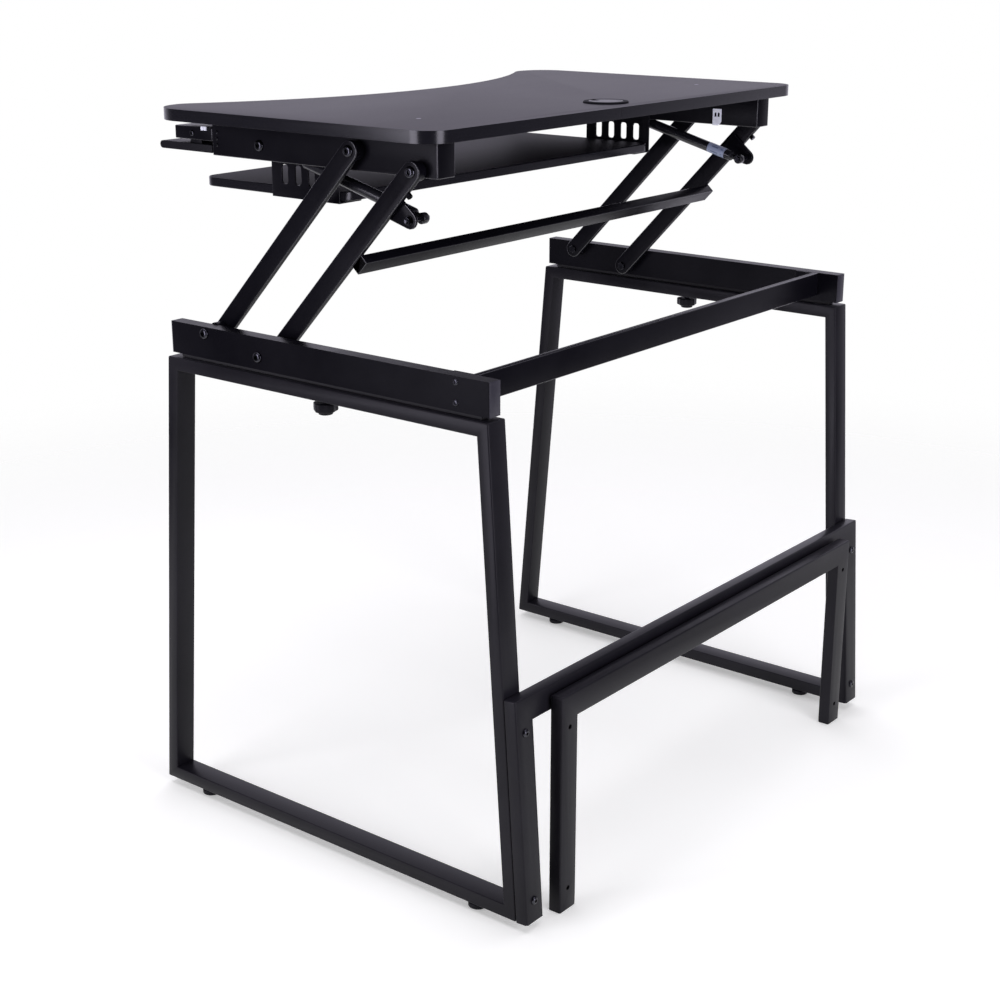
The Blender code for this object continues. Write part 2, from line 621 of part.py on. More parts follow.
def gas_lug(side, sign, steel):
    """A plate on the inside of the rear arm with the pin of the gas spring's eye."""
    high = ARM_INNER - GAP
    low = high - LUG_THICK
    along = ARM_LENGTH - LUG_ALONG
    foot = [(ARM_LENGTH - at, 0.25 * ARM_WIDE) for at in LUG_FOOT]
    foot += [(ARM_LENGTH - at, -0.5 * ARM_WIDE) for at in LUG_FOOT]
    outline = hull(circle((along, -LUG_OUT), LUG_RADIUS, EYE_SIDES) + foot)
    lug = prism("gas_lug_" + side, outline, "X", *mirrored(low, high, sign), steel)
    pin_end = GAS_X - GAS_EYE_WIDE / 2 - NUT
    pin = circle((along, -LUG_OUT), GAS_PIN_RADIUS, PIN_SIDES)
    add(lug, prism("lug_pin", pin, "X", *mirrored(pin_end, low + GAP, sign)))
    lug.location = (0, *LOWER_REAR)
    lug.rotation_euler.x = THETA
    return lug


# ---- gas springs -----------------------------------------------------------------------------
def gas_cylinder(side, sign, paint):
    """Eye at the lug, then neck and body along -Y, turned towards the front pin."""
    x = sign * GAS_X
    half = GAS_EYE_WIDE / 2
    eye = circle((0, 0), GAS_EYE, EYE_SIDES)
    made = prism("gas_cylinder_" + side, eye, "X", x - half, x + half, paint)
    start = GAS_EYE + GAS_NECK
    far = start + GAS_BODY
    r = GAS_RADIUS
    body = [(0, -0.5 * GAS_EYE), (GAS_NECK_RADIUS, -0.5 * GAS_EYE), (GAS_NECK_RADIUS, -start),
            (0.8 * r, -start), (r, -start - 0.2 * r), (r, -far + 0.2 * r), (0.8 * r, -far),
            (ROD_RADIUS + GAP, -far), (ROD_RADIUS + GAP, -far + GAS_BORE), (0, -far + GAS_BORE)]
    add(made, turned("gas_body", body, "Y", (x, 0), EYE_SIDES))
    bore(made, "X", (0, 0), GAS_PIN_RADIUS + GAP, x - GAS_EYE_WIDE, x + GAS_EYE_WIDE)
    made.location = (0, *LUG)
    made.rotation_euler.x = -GAS_ANGLE
    smooth(made)
    return made


def gas_rod(side, sign, chrome):
    x = sign * GAS_X
    half = GAS_EYE_WIDE / 2
    eye = circle((-GAS_LENGTH, 0), ROD_EYE, EYE_SIDES)
    made = prism("gas_rod_" + side, eye, "X", x - half, x + half, chrome)
    eye_edge = -GAS_LENGTH + 0.9 * ROD_EYE
    shaft = circle((x, 0), ROD_RADIUS, PIN_SIDES)
    add(made, prism("rod_shaft", shaft, "Y", eye_edge, -GAS_LENGTH + ROD_LENGTH))
    bore(made, "X", (-GAS_LENGTH, 0), ROD_EYE_HOLE, x - GAS_EYE_WIDE, x + GAS_EYE_WIDE)
    made.location = (0, *LUG)
    made.rotation_euler.x = -GAS_ANGLE
    return made


def rod_pin(side, sign, look):
    outer = UPPER_OUTER + GAP
    r, h = GAS_PIN_RADIUS, BOLT_HEAD_RADIUS
    profile = [(0, outer + BOLT_HEAD), (0.72 * h, outer + 0.85 * BOLT_HEAD), (h, outer + 0.4 * BOLT_HEAD),
               (h, outer), (r, outer), (r, UPPER_INNER), (0, UPPER_INNER)]
    return turned("rod_pin_" + side, [(a, sign * x) for a, x in profile], "X", ROD_PIN, BOLT_SIDES, look)


# ---- upper frame -----------------------------------------------------------------------------
def upper_rail(side, sign, steel):
    low, high = mirrored(UPPER_INNER, UPPER_OUTER, sign)
    rear = HUB_Y + UPPER_REAR
    top = UPPER_BOTTOM + UPPER_TALL
    rail = box("upper_rail_" + side, (low, CHANNEL_FRONT, UPPER_BOTTOM), (high, rear, top), steel)
    w = UPPER_WALL
    core_low = (low + w, CHANNEL_FRONT - w, UPPER_BOTTOM - w)
    cut(rail, box("channel_core", core_low, (high - w, rear - w, top - w)))
    wall = mirrored(UPPER_OUTER - 2 * w, UPPER_OUTER + w, sign)
    for pivot in (UPPER_PIVOT_FRONT, UPPER_PIVOT_REAR):
        bore(rail, "X", pivot, PIVOT_RADIUS + GAP, *wall)
    bore(rail, "X", ROD_PIN, GAS_PIN_RADIUS + GAP, low - w, high + w)
    return rail


def desktop_outline():
    """Counter-clockwise from the rear right corner; the cut-out is one arc with a fillet at each end."""
    half = TOP_WIDTH / 2
    rear = HUB_Y + TOP_REAR
    front = rear - TOP_DEPTH
    r, f = REAR_CORNER, FRONT_CORNER
    reach = CUT_RADIUS + CUT_FILLET             # from the arc's centre to a fillet's
    fillet_x = sqrt(2 * reach * CUT_DEPTH - CUT_DEPTH ** 2)
    turn = degrees(atan2(fillet_x, reach - CUT_DEPTH))
    points = arc((half - r, rear - r), r, 0, 90, 6) + arc((-half + r, rear - r), r, 90, 180, 6)
    points += arc((-half + f, front + f), f, 180, 270, 8)
    points += arc((-fillet_x, front + CUT_FILLET), CUT_FILLET, 270, 270 + turn, 3)[:-1]
    points += arc((0, front + CUT_DEPTH - CUT_RADIUS), CUT_RADIUS, 90 + turn, 90 - turn, 24)
    points += arc((fillet_x, front + CUT_FILLET), CUT_FILLET, 270 - turn, 270, 3)[1:]
    points += arc((half - f, front + f), f, 270, 360, 8)
    return points


def desktop(laminate):
    top = prism("desktop", desktop_outline(), "Z", TOP_BOTTOM, TOP_TOP, laminate)
    hole = circle((0, GROMMET_Y), GROMMET_RADIUS - GROMMET_LIP + GAP, GROMMET_SIDES)
    cut(top, prism("grommet_hole", hole, "Z", TOP_BOTTOM - GAP, TOP_TOP + GAP))
    rebate = circle((0, GROMMET_Y), GROMMET_RADIUS + GAP, GROMMET_SIDES)
    cut(top, prism("grommet_rebate", rebate, "Z", TOP_TOP - GROMMET_SEAT, TOP_TOP + GAP))
    return top


def grommet(plastic):
    """A flanged ring in the desktop, and a slotted cap that turns on its ledge."""
    outer = GROMMET_RADIUS - GROMMET_LIP - GAP
    inner = outer - GROMMET_WALL
    rim = TOP_TOP - GROMMET_SEAT + GAP
    crown = rim + GROMMET_FLANGE
    ledge = crown - GROMMET_CAP - GAP
    profile = [(outer, TOP_BOTTOM), (outer, rim), (GROMMET_RADIUS, rim),
               (GROMMET_RADIUS, rim + 0.4 * GROMMET_FLANGE),
               (GROMMET_RADIUS - 0.001, crown), (inner, crown), (inner, ledge),
               (inner - GROMMET_LEDGE, ledge), (inner - GROMMET_LEDGE, ledge - GROMMET_WALL),
               (inner, ledge - GROMMET_WALL), (inner, TOP_BOTTOM)]
    ring = turned("grommet_ring", profile, "Z", (0, GROMMET_Y), GROMMET_SIDES, plastic, ring=True)
    disc = circle((0, GROMMET_Y), inner - 2 * GAP, GROMMET_SIDES)
    cap = prism("grommet_cap", disc, "Z", ledge + GAP, crown, plastic)
    slot_x = GROMMET_SLOT / 2
    slot = box("cable_slot", (-slot_x, GROMMET_Y - GROMMET_RADIUS, ledge - GAP),
               (slot_x, GROMMET_Y - 0.4 * GROMMET_RADIUS, crown + GAP))
    cut(cap, slot)
    return ring, cap


# ---- keyboard tray ---------------------------------------------------------------------------
def keyboard_tray(laminate):
    rear = HUB_Y - TRAY_REAR
    top = HUB_Z - TRAY_DROP
    outline = rounded_box((-TRAY_HALF, rear - TRAY_DEPTH), (TRAY_HALF, rear), TRAY_CORNER, 6)
    return prism("keyboard_tray", outline, "Z", top - TRAY_THICKNESS, top, laminate)


def tray_hanger(side, sign, steel):
    """A slotted plate on the inside of the channel, turned in under the tray."""
    outside = UPPER_INNER - GAP
    inside = outside - HANGER_THICK
    shelf = HUB_Z - TRAY_DROP - TRAY_THICKNESS - GAP
    roof = UPPER_BOTTOM + HANGER_OVERLAP
    outline = [(outside, shelf - HANGER_THICK), (outside, roof), (inside, roof), (inside, shelf),
               (outside - HANGER_SHELF, shelf), (outside - HANGER_SHELF, shelf - HANGER_THICK)]
    outline = [(sign * x, z) for x, z in outline]
    rear = HUB_Y - HANGER_REAR
    plate = prism("tray_hanger_" + side, outline, "Y", rear - HANGER_LENGTH, rear, steel)
    middle = rear - HANGER_LENGTH / 2
    bottom = HUB_Z - TRAY_DROP + SLOT_LIFT
    for i in range(SLOT_COUNT):
        y = middle + (i - (SLOT_COUNT - 1) / 2) * SLOT_STEP
        half = SLOT_WIDE / 2
        hole = rounded_box((y - half, bottom), (y + half, bottom + SLOT_TALL), 0.6 * half, 2)
        low, high = mirrored(inside - HANGER_THICK, outside + HANGER_THICK, sign)
        cut(plate, prism("tray_slot", hole, "X", low, high))
    return plate


# ---- lift levers -----------------------------------------------------------------------------
def lever_housing(side, sign, steel):
    """A short channel ahead of the upper rail, with the lever's pin across it."""
    low, high = mirrored(UPPER_INNER, UPPER_OUTER, sign)
    rear = CHANNEL_FRONT - GAP
    front = CHANNEL_FRONT - HOUSING_LENGTH
    top = HOUSING_BOTTOM + HOUSING_TALL
    made = box("lever_housing_" + side, (low, front, HOUSING_BOTTOM), (high, rear, top), steel)
    w = HOUSING_WALL
    core_low = (low + w, front + w, HOUSING_BOTTOM - w)
    cut(made, box("housing_core", core_low, (high - w, rear + w, top - w)))
    pin = circle(LEVER_PIVOT, LEVER_PIN_RADIUS, PIN_SIDES)
    add(made, prism("lever_pin", pin, "X", low + w / 2, high - w / 2))
    return made


def lift_lever(side, sign, plastic):
    """A flat grip with a round nose, and a web that goes up round the pin."""
    y, z = LEVER_PIVOT
    grip_top = HOUSING_BOTTOM - LEVER_GAP
    grip_bottom = grip_top - LEVER_THICK
    nose = LEVER_THICK / 2
    front, back = y - LEVER_FRONT, y + LEVER_BACK
    outline = arc((front + nose, grip_bottom + nose), nose, 90, 270, 6)
    outline += [(back, grip_bottom), (back, grip_top)]
    low, high = mirrored(UPPER_INNER, UPPER_OUTER, sign)
    lever = prism("lift_lever_" + side, outline, "X", low, high, plastic)
    foot = [(y + 2 * shift * LEVER_HEAD, grip_top - GAP) for shift in (-1, 1)]
    web = hull(circle((y, z), LEVER_HEAD, EYE_SIDES) + foot)
    middle = sign * GAS_X
    half = LEVER_WEB / 2
    add(lever, prism("lever_web", web, "X", middle - half, middle + half))
    bore(lever, "X", (y, z), LEVER_PIN_RADIUS + GAP, low, high)
    return lever


def build():
    clear_scene()
    steel = material("black powder coat", (0.012, 0.012, 0.015), 0.45, 0.0)
    zinc = material("blackened steel", (0.03, 0.03, 0.034), 0.35, 1.0)
    chrome = material("polished rod", (0.55, 0.55, 0.58), 0.15, 1.0)
    plastic = material("black plastic", (0.015, 0.015, 0.016), 0.5, 0.0)
    rubber = material("black rubber", (0.01, 0.01, 0.01), 0.8, 0.0)
    laminate = material("black laminate", (0.02, 0.02, 0.023), 0.5, 0.0)
    lift_axis = empty("lift_axis", (0, *LOWER_REAR))
    front_axis = empty("front_arm_axis", (0, *LOWER_FRONT))
    level_axis = empty("level_axis", (0, *UPPER_PIVOT_REAR), lift_axis)
    for side, sign in SIDES:
        side_frame(side, sign, steel)
        base_rail(side, sign, steel, plastic, rubber)
        low, high = mirrored(ARM_INNER, ARM_OUTER, sign)
        attach(arm("front_arm_" + side, low, high, LOWER_FRONT, steel), front_axis)
        attach(arm("rear_arm_" + side, low, high, LOWER_REAR, steel), lift_axis)
        attach(gas_lug(side, sign, steel), lift_axis)
        lower_pivot_bolt("front", side, sign, LOWER_FRONT, zinc)
        lower_pivot_bolt("rear", side, sign, LOWER_REAR, zinc)
        attach(upper_pivot_bolt("front", side, sign, UPPER_PIVOT_FRONT, zinc), level_axis)
        attach(upper_pivot_bolt("rear", side, sign, UPPER_PIVOT_REAR, zinc), level_axis)
        gas_axis = empty(f"gas_axis_{side}", (0, *LUG), lift_axis)
        attach(gas_cylinder(side, sign, steel), gas_axis)
        attach(gas_rod(side, sign, chrome), gas_axis)
        attach(rod_pin(side, sign, zinc), level_axis)
        attach(upper_rail(side, sign, steel), level_axis)
        attach(tray_hanger(side, sign, steel), level_axis)
        attach(lever_housing(side, sign, steel), level_axis)
        lever_axis = empty(f"lever_axis_{side}", (0, *LEVER_PIVOT), level_axis)
        attach(lift_lever(side, sign, plastic), lever_axis)
    rear_brace(steel, zinc)
    prop_frame(steel, zinc)
    levelling_feet(plastic)
    clamp_knobs(plastic)
    rear_crossbar(steel)
    attach(link_bar(steel), lift_axis)
    attach(desktop(laminate), level_axis)
    attach(keyboard_tray(laminate), level_axis)
    ring, cap = grommet(plastic)
    attach(ring, level_axis)
    attach(cap, empty("grommet_axis", (0, GROMMET_Y, TOP_TOP), level_axis))


build()
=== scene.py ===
import json
import math

import bmesh
import bpy
from mathutils import Matrix, Vector

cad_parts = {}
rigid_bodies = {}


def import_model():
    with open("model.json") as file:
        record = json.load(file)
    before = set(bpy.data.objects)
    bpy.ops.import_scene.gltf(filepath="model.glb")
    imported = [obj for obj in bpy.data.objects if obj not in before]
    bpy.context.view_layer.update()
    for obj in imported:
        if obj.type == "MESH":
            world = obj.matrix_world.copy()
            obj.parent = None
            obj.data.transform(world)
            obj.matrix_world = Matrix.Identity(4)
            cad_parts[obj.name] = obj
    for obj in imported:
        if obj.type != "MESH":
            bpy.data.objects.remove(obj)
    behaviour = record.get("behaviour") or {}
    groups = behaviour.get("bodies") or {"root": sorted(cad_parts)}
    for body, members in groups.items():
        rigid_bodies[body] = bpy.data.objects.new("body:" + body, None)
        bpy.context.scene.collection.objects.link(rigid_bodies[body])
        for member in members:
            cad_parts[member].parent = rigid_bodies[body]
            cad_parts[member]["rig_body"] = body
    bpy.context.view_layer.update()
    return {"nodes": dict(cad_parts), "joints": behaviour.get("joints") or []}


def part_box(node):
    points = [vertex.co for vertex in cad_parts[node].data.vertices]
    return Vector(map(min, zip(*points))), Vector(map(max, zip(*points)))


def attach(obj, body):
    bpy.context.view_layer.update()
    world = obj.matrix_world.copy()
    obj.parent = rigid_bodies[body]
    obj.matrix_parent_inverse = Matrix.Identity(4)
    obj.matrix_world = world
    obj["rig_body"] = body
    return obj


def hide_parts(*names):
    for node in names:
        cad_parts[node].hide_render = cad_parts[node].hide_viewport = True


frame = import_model()
cad = frame["nodes"]
joints = {joint["name"]: joint for joint in frame["joints"]}
sides = (("left", -1), ("right", 1))
mm = 0.001
up = Vector((0, 0, 1))


# shader sockets with arithmetic

class Wire:
    def __init__(self, look, socket):
        self.look = look
        self.socket = socket

    def maths(self, operation, first, second):
        return self.look.node("ShaderNodeMath", {"operation": operation}, {0: first, 1: second})

    def __add__(self, other):
        return self.maths("ADD", self, other)

    def __radd__(self, other):
        return self.maths("ADD", other, self)

    def __sub__(self, other):
        return self.maths("SUBTRACT", self, other)

    def __rsub__(self, other):
        return self.maths("SUBTRACT", other, self)

    def __mul__(self, other):
        return self.maths("MULTIPLY", self, other)

    def __rmul__(self, other):
        return self.maths("MULTIPLY", other, self)

    def __lt__(self, other):
        return self.maths("LESS_THAN", self, other)

    def __gt__(self, other):
        return self.maths("GREATER_THAN", self, other)


class Look:                                   # one material and its nodes
    def __init__(self, name):
        self.material = bpy.data.materials.new(name)
        self.material.use_nodes = True
        self.tree = self.material.node_tree
        self.shader = self.tree.nodes["Principled BSDF"]

    def fill(self, socket, value):
        if isinstance(value, Wire):
            self.tree.links.new(value.socket, socket)
        elif isinstance(value, tuple) and len(value) < len(socket.default_value):
            socket.default_value = (*value, 1)
        else:
            socket.default_value = value

    def node(self, kind, settings=None, sockets=None, output=0):
        made = self.tree.nodes.new(kind)
        for name, value in (settings or {}).items():
            setattr(made, name, value)
        for name, value in (sockets or {}).items():
            self.fill(made.inputs[name], value)
        return Wire(self, made.outputs[output])

    def place(self):                          # metres in the piece's own space
        return self.node("ShaderNodeTexCoord", output="Object")

    def axis(self, name):
        return self.node("ShaderNodeSeparateXYZ", None, {"Vector": self.place()}, name)

    def stretched(self, scale):
        return self.node("ShaderNodeVectorMath", {"operation": "MULTIPLY"}, {0: self.place(), 1: scale})

    def noise(self, scale, detail=2.0, at=None):
        sockets = {"Vector": at or self.place(), "Scale": scale, "Detail": detail}
        return self.node("ShaderNodeTexNoise", None, sockets, "Fac")

    def cells(self, scale, at=None):
        sockets = {"Vector": at or self.place(), "Scale": scale}
        return self.node("ShaderNodeTexVoronoi", None, sockets, "Distance")

    def mix(self, factor, first, second):     # two colours
        settings = {"data_type": "RGBA"}
        return self.node("ShaderNodeMix", settings, {"Factor": factor, 6: first, 7: second}, 2)

    def between(self, value, low, high, start=0.0, end=1.0):
        sockets = {"Value": value, 1: start, 2: end, 3: low, 4: high}
        return self.node("ShaderNodeMapRange", None, sockets)

    def bump(self, height, strength, distance):
        sockets = {"Height": height, "Strength": strength, "Distance": distance}
        return self.node("ShaderNodeBump", None, sockets)

    def done(self, **sockets):
        for name, value in sockets.items():
            spaced = "".join(" " + c if c.isupper() else c for c in name).strip()
            self.fill(self.shader.inputs[socketNames.get(name, spaced)], value)
        return self.material


socketNames = {"SpecularLevel": "Specular IOR Level"}


# materials

coatFacts = {"colour": (0.0030, 0.0028, 0.0046), "dusty": (0.0052, 0.0049, 0.0072), "gloss": 0.075,
             "roughLow": 0.27, "roughHigh": 0.40, "peelPerMetre": 520, "peelDepth": 0.00012}


def powderCoat(name, facts=coatFacts):        # satin black with a fine orange peel
    look = Look(name)
    peel = look.noise(facts["peelPerMetre"], 3)
    broad = look.noise(9, 3)
    speck = look.between(look.noise(2600, 1), 0, 1, 0.55, 0.75)
    colour = look.mix(look.between(broad, 0, 1, 0.35, 0.7), facts["colour"], facts["dusty"])
    rough = look.between(broad, facts["roughLow"], facts["roughHigh"], 0.3, 0.7) + 0.05 * speck
    height = peel + 0.25 * look.noise(facts["peelPerMetre"] * 4, 1)
    return look.done(BaseColor=colour, Roughness=rough, SpecularLevel=facts["gloss"],
                     Normal=look.bump(height, 0.35, facts["peelDepth"]))


laminateFacts = {"colour": (0.0200, 0.0180, 0.0230), "light": (0.0290, 0.0260, 0.0330),
                 "roughness": 0.47, "gloss": 0.12, "grainPerMetre": 900, "grainDepth": 0.00010}


def laminate(name, facts=laminateFacts):      # pressed melamine with a fine pebble
    look = Look(name)
    pebble = look.cells(facts["grainPerMetre"])
    cloud = look.noise(5, 4)
    streak = look.noise(30, 3, look.stretched((0.12, 1, 1)))
    colour = look.mix(look.between(cloud * 0.6 + streak * 0.4, 0, 1, 0.35, 0.65),
                      facts["colour"], facts["light"])
    rough = facts["roughness"] + 0.07 * (cloud - 0.5) + 0.06 * (pebble - 0.4)
    return look.done(BaseColor=colour, Roughness=rough, SpecularLevel=facts["gloss"],
                     Normal=look.bump(pebble, 0.22, facts["grainDepth"]))


def edgeBand(name):                           # smooth strip with faint drag marks along it
    look = Look(name)
    drag = look.noise(60, 2, look.stretched((0.3, 0.3, 14)))
    return look.done(BaseColor=look.mix(drag, (0.0040, 0.0038, 0.0062), (0.0058, 0.0055, 0.0086)),
                     Roughness=look.between(drag, 0.20, 0.25, 0.3, 0.7), SpecularLevel=0.42,
                     Normal=look.bump(drag, 0.05, 0.0002))


def blackZinc(name, colour=(0.036, 0.036, 0.042), roughness=0.13):
    look = Look(name)
    stain = look.noise(220, 3)
    shade = look.mix(look.between(stain, 0, 1, 0.35, 0.7), colour, tuple(1.7 * c for c in colour))
    return look.done(BaseColor=shade, Metallic=1.0, Roughness=roughness + 0.10 * stain,
                     Normal=look.bump(look.noise(1500, 2), 0.15, 0.00006))


def polishedRod(name):                        # hard chrome with faint rings from grinding
    look = Look(name)
    rings = look.noise(40, 2, look.stretched((1, 60, 60)))
    return look.done(BaseColor=look.mix(rings, (0.50, 0.50, 0.54), (0.66, 0.66, 0.70)), Metallic=1.0,
                     Roughness=look.between(rings, 0.10, 0.20), Normal=look.bump(rings, 0.05, 0.00005))


def glossPaint(name):
    look = Look(name)
    wave = look.noise(160, 2)
    return look.done(BaseColor=look.mix(wave, (0.0080, 0.0080, 0.0100), (0.0130, 0.0130, 0.0165)),
                     Roughness=look.between(wave, 0.16, 0.26), SpecularLevel=0.5,
                     Normal=look.bump(wave, 0.10, 0.0002))


def mouldedPlastic(name, colour=(0.0048, 0.0046, 0.0062), roughness=0.42, gloss=0.12):
    look = Look(name)
    stipple = look.cells(2200)
    flow = look.noise(45, 3)
    shade = look.mix(flow, colour, tuple(1.6 * c for c in colour))
    return look.done(BaseColor=shade, Roughness=roughness + 0.10 * (flow - 0.5) + 0.08 * stipple,
                     SpecularLevel=gloss, Normal=look.bump(stipple, 0.25, 0.00010))


def rubberStrip(name):
    look = Look(name)
    grain = look.noise(1300, 3)
    return look.done(BaseColor=look.mix(grain, (0.0090, 0.0090, 0.0095), (0.0200, 0.0200, 0.0210)),
                     Roughness=look.between(grain, 0.70, 0.88), Normal=look.bump(grain, 0.4, 0.0002))


coat = powderCoat("powder_coat")
tubeCoat = powderCoat("tube_coat", {**coatFacts, "colour": (0.0072, 0.0068, 0.0090),
                                    "dusty": (0.0115, 0.0108, 0.0138), "gloss": 0.13,
                                    "peelPerMetre": 620, "roughLow": 0.28})
edgeHighlightFacts = {**coatFacts, "colour": (0.009, 0.0085, 0.0115), "dusty": (0.014, 0.0135, 0.018), "gloss": 0.65,
             "roughLow": 0.18, "roughHigh": 0.28}
edgeHighlightCoat = powderCoat("edge_highlight_coat", edgeHighlightFacts)          # thinner, glossier paint on the round edges, its lighter colour a painted highlight
topLaminate = laminate("top_laminate")
# the tray's colour, darker than the desktop's, is painted shade from the desktop above it
shadedTrayLaminate = laminate("tray_laminate_painted_shade", {**laminateFacts, "colour": (0.014, 0.0128, 0.0162),
                                          "light": (0.019, 0.0174, 0.022), "roughness": 0.52, "gloss": 0.03})
band = edgeBand("edge_band")
zinc = blackZinc("black_zinc")
blueZinc = blackZinc("blue_zinc", (0.32, 0.37, 0.46), 0.18)
rodChrome = polishedRod("rod_chrome")
gasPaint = glossPaint("gas_paint")
plastic = mouldedPlastic("moulded_plastic")
capPlastic = mouldedPlastic("cap_plastic", (0.022, 0.021, 0.028), 0.36, 0.28)
grommetPlastic = mouldedPlastic("grommet_plastic", (0.0060, 0.0058, 0.0075), 0.62, 0.05)
nylon = mouldedPlastic("pale_nylon", (0.70, 0.72, 0.78), 0.35, 0.4)
padRubber = rubberStrip("pad_rubber")
print("materials done")


# meshes

def aim(point, direction):                    # local Z turned to a direction, at a point
    turn = up.rotation_difference(Vector(direction))
    return Matrix.Translation(point) @ turn.to_matrix().to_4x4()


def turned(work, rings, place, count=32, look=0, closed=False):
    # rings as (radius, height) from one end to the other; a radius may follow the angle,
    # and a third value is the material from there on
    rows = []
    for radius, height, *_ in rings:
        if radius == 0:
            rows.append([work.verts.new(place @ Vector((0, 0, height)))] * count)
            continue
        row = []
        for i in range(count):
            angle = 2 * math.pi * i / count
            reach = radius(angle) if callable(radius) else radius
            point = Vector((reach * math.cos(angle), reach * math.sin(angle), height))
            row.append(work.verts.new(place @ point))
        rows.append(row)
    ends = rows[1:] + rows[:1] if closed else rows[1:]
    for ring, first, second in zip(rings, rows, ends):
        look = ring[2] if len(ring) > 2 else look
        for i in range(count):
            j = (i + 1) % count
            corners = dict.fromkeys((first[i], first[j], second[j], second[i]))
            work.faces.new(tuple(corners)).material_index = look


def hexagon(acrossFlats):
    def reach(angle):
        return acrossFlats / 2 / math.cos(angle % (math.pi / 3) - math.pi / 6)
    return reach


def slab(work, outline, place, low, high, look=0):
    # a flat outline in local X and Y, from low to high along local Z
    ends = [[work.verts.new(place @ Vector((a, b, h))) for a, b in outline] for h in (low, high)]
    faces = [work.faces.new(ends[0][::-1]), work.faces.new(ends[1])]
    for i in range(len(outline)):
        j = (i + 1) % len(outline)
        faces.append(work.faces.new((ends[0][i], ends[0][j], ends[1][j], ends[1][i])))
    for face in faces:
        face.material_index = look
    return faces


def roundEdges(work, radius, steps=3, keep=None, look=-1):
    # bevels the long outer edges; holes and inner corners stay
    chosen = []
    for edge in work.edges:
        if len(edge.link_faces) != 2 or edge.calc_face_angle_signed() < math.radians(30):
            continue
        if edge.calc_length() > 3.2 * mm and (keep is None or keep(edge)):
            chosen.append(edge)
    bmesh.ops.bevel(work, geom=chosen, offset=radius, offset_type="OFFSET", segments=steps,
                    profile=0.5, affect="EDGES", clamp_overlap=True, material=look)


def piece(name, work, looks, body, standsFor=(), smoothTo=32, place=None):
    mesh = bpy.data.meshes.new(name)
    bmesh.ops.recalc_face_normals(work, faces=work.faces)
    work.to_mesh(mesh)
    work.free()
    if "custom_normal" in mesh.attributes:
        mesh.attributes.remove(mesh.attributes["custom_normal"])
    made = bpy.data.objects.new(name, mesh)
    bpy.context.scene.collection.objects.link(made)
    if place:
        made.matrix_world = place
    for look in looks:
        mesh.materials.append(look)
    mesh.shade_smooth()
    mesh.set_sharp_from_angle(angle=math.radians(smoothTo))
    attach(made, body)
    if standsFor:
        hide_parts(*standsFor)
    return made


def outerMesh(node):                          # a CAD node's mesh with flat faces whole again
    work = bmesh.new()
    work.from_mesh(cad[node].data)
    bmesh.ops.remove_doubles(work, verts=work.verts, dist=0.02 * mm)
    bmesh.ops.dissolve_limit(work, angle_limit=math.radians(0.6), verts=work.verts, edges=work.edges)
    for face in work.faces:
        face.material_index = 0
    return work


def rounded(node, radius, look, steps=3, keep=None):
    work = outerMesh(node)
    # pieces in the powder coat get lighter, glossier round edges: the lighter colour is a painted edge
    # highlight
    painted = look is coat
    roundEdges(work, radius, steps, keep, 1 if painted else -1)
    looks = [look, edgeHighlightCoat] if painted else [look]
    return piece(node + "_shape", work, looks, cad[node]["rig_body"], [node])


# floor stand

standFacts = {"tubeCorner": 2.0 * mm, "legEnd": 13 * mm, "railCorner": 1.8 * mm, "capCorner": 0.5 * mm}


def legEdge(edge):                            # leaves the open feet of the U-shaped frames square
    return any(vert.co.z > standFacts["legEnd"] for vert in edge.verts)


for node in ("rear_brace", "prop_frame"):
    rounded(node, standFacts["tubeCorner"], tubeCoat, keep=legEdge)
for side, sign in sides:
    rounded(f"side_frame_{side}", standFacts["tubeCorner"], tubeCoat)
    rail = f"base_rail_{side}"
    low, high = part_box(rail)
    middle = (low.y + high.y) / 2
    reach = (high.y - low.y) / 2 - 0.5 * mm
    rounded(rail, standFacts["railCorner"], coat,
            keep=lambda edge: any(abs(vert.co.y - middle) < reach for vert in edge.verts))
    for place in ("front", "rear"):
        rounded(f"rail_cap_{place}_{side}", standFacts["capCorner"], capPlastic, 2)
    cad[f"rail_pad_{side}"].data.materials[0] = padRubber
rounded("rear_crossbar", 1.0 * mm, coat)
print("stand done")


# bolts and screws

def buttonHead(radius, height, socket, base=0.0):
    # domed head with a hexagon socket, as rings for turned()
    flat = hexagon(socket)
    dome = [(1, 0), (1, 0.2), (0.95, 0.48), (0.82, 0.78), (0.66, 0.94), (0.55, 1)]
    rings = [(radius * share, base + height * rise) for share, rise in dome]
    return rings + [(flat, base + 0.96 * height), (flat, base + 0.35 * height), (0, base + 0.3 * height)]


def spine(node, axis):                        # middles of a turned CAD node's two ends
    points = [vert.co for vert in cad[node].data.vertices]
    ends = []
    for level in (min(p[axis] for p in points), max(p[axis] for p in points)):
        near = [p for p in points if abs(p[axis] - level) < 0.3 * mm]
        ends.append(sum(near, Vector()) / len(near))
    return ends


def away(node):                               # nearest and furthest face from the middle plane
    low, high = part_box(node)
    return sorted((abs(low.x), abs(high.x)))


bolt = {"head": 7.2 * mm, "headHeight": 3.4 * mm, "socket": 5.0 * mm, "shank": 3.5 * mm,
        "nut": 11.0 * mm, "spacer": 11.5 * mm, "gap": 0.3 * mm}


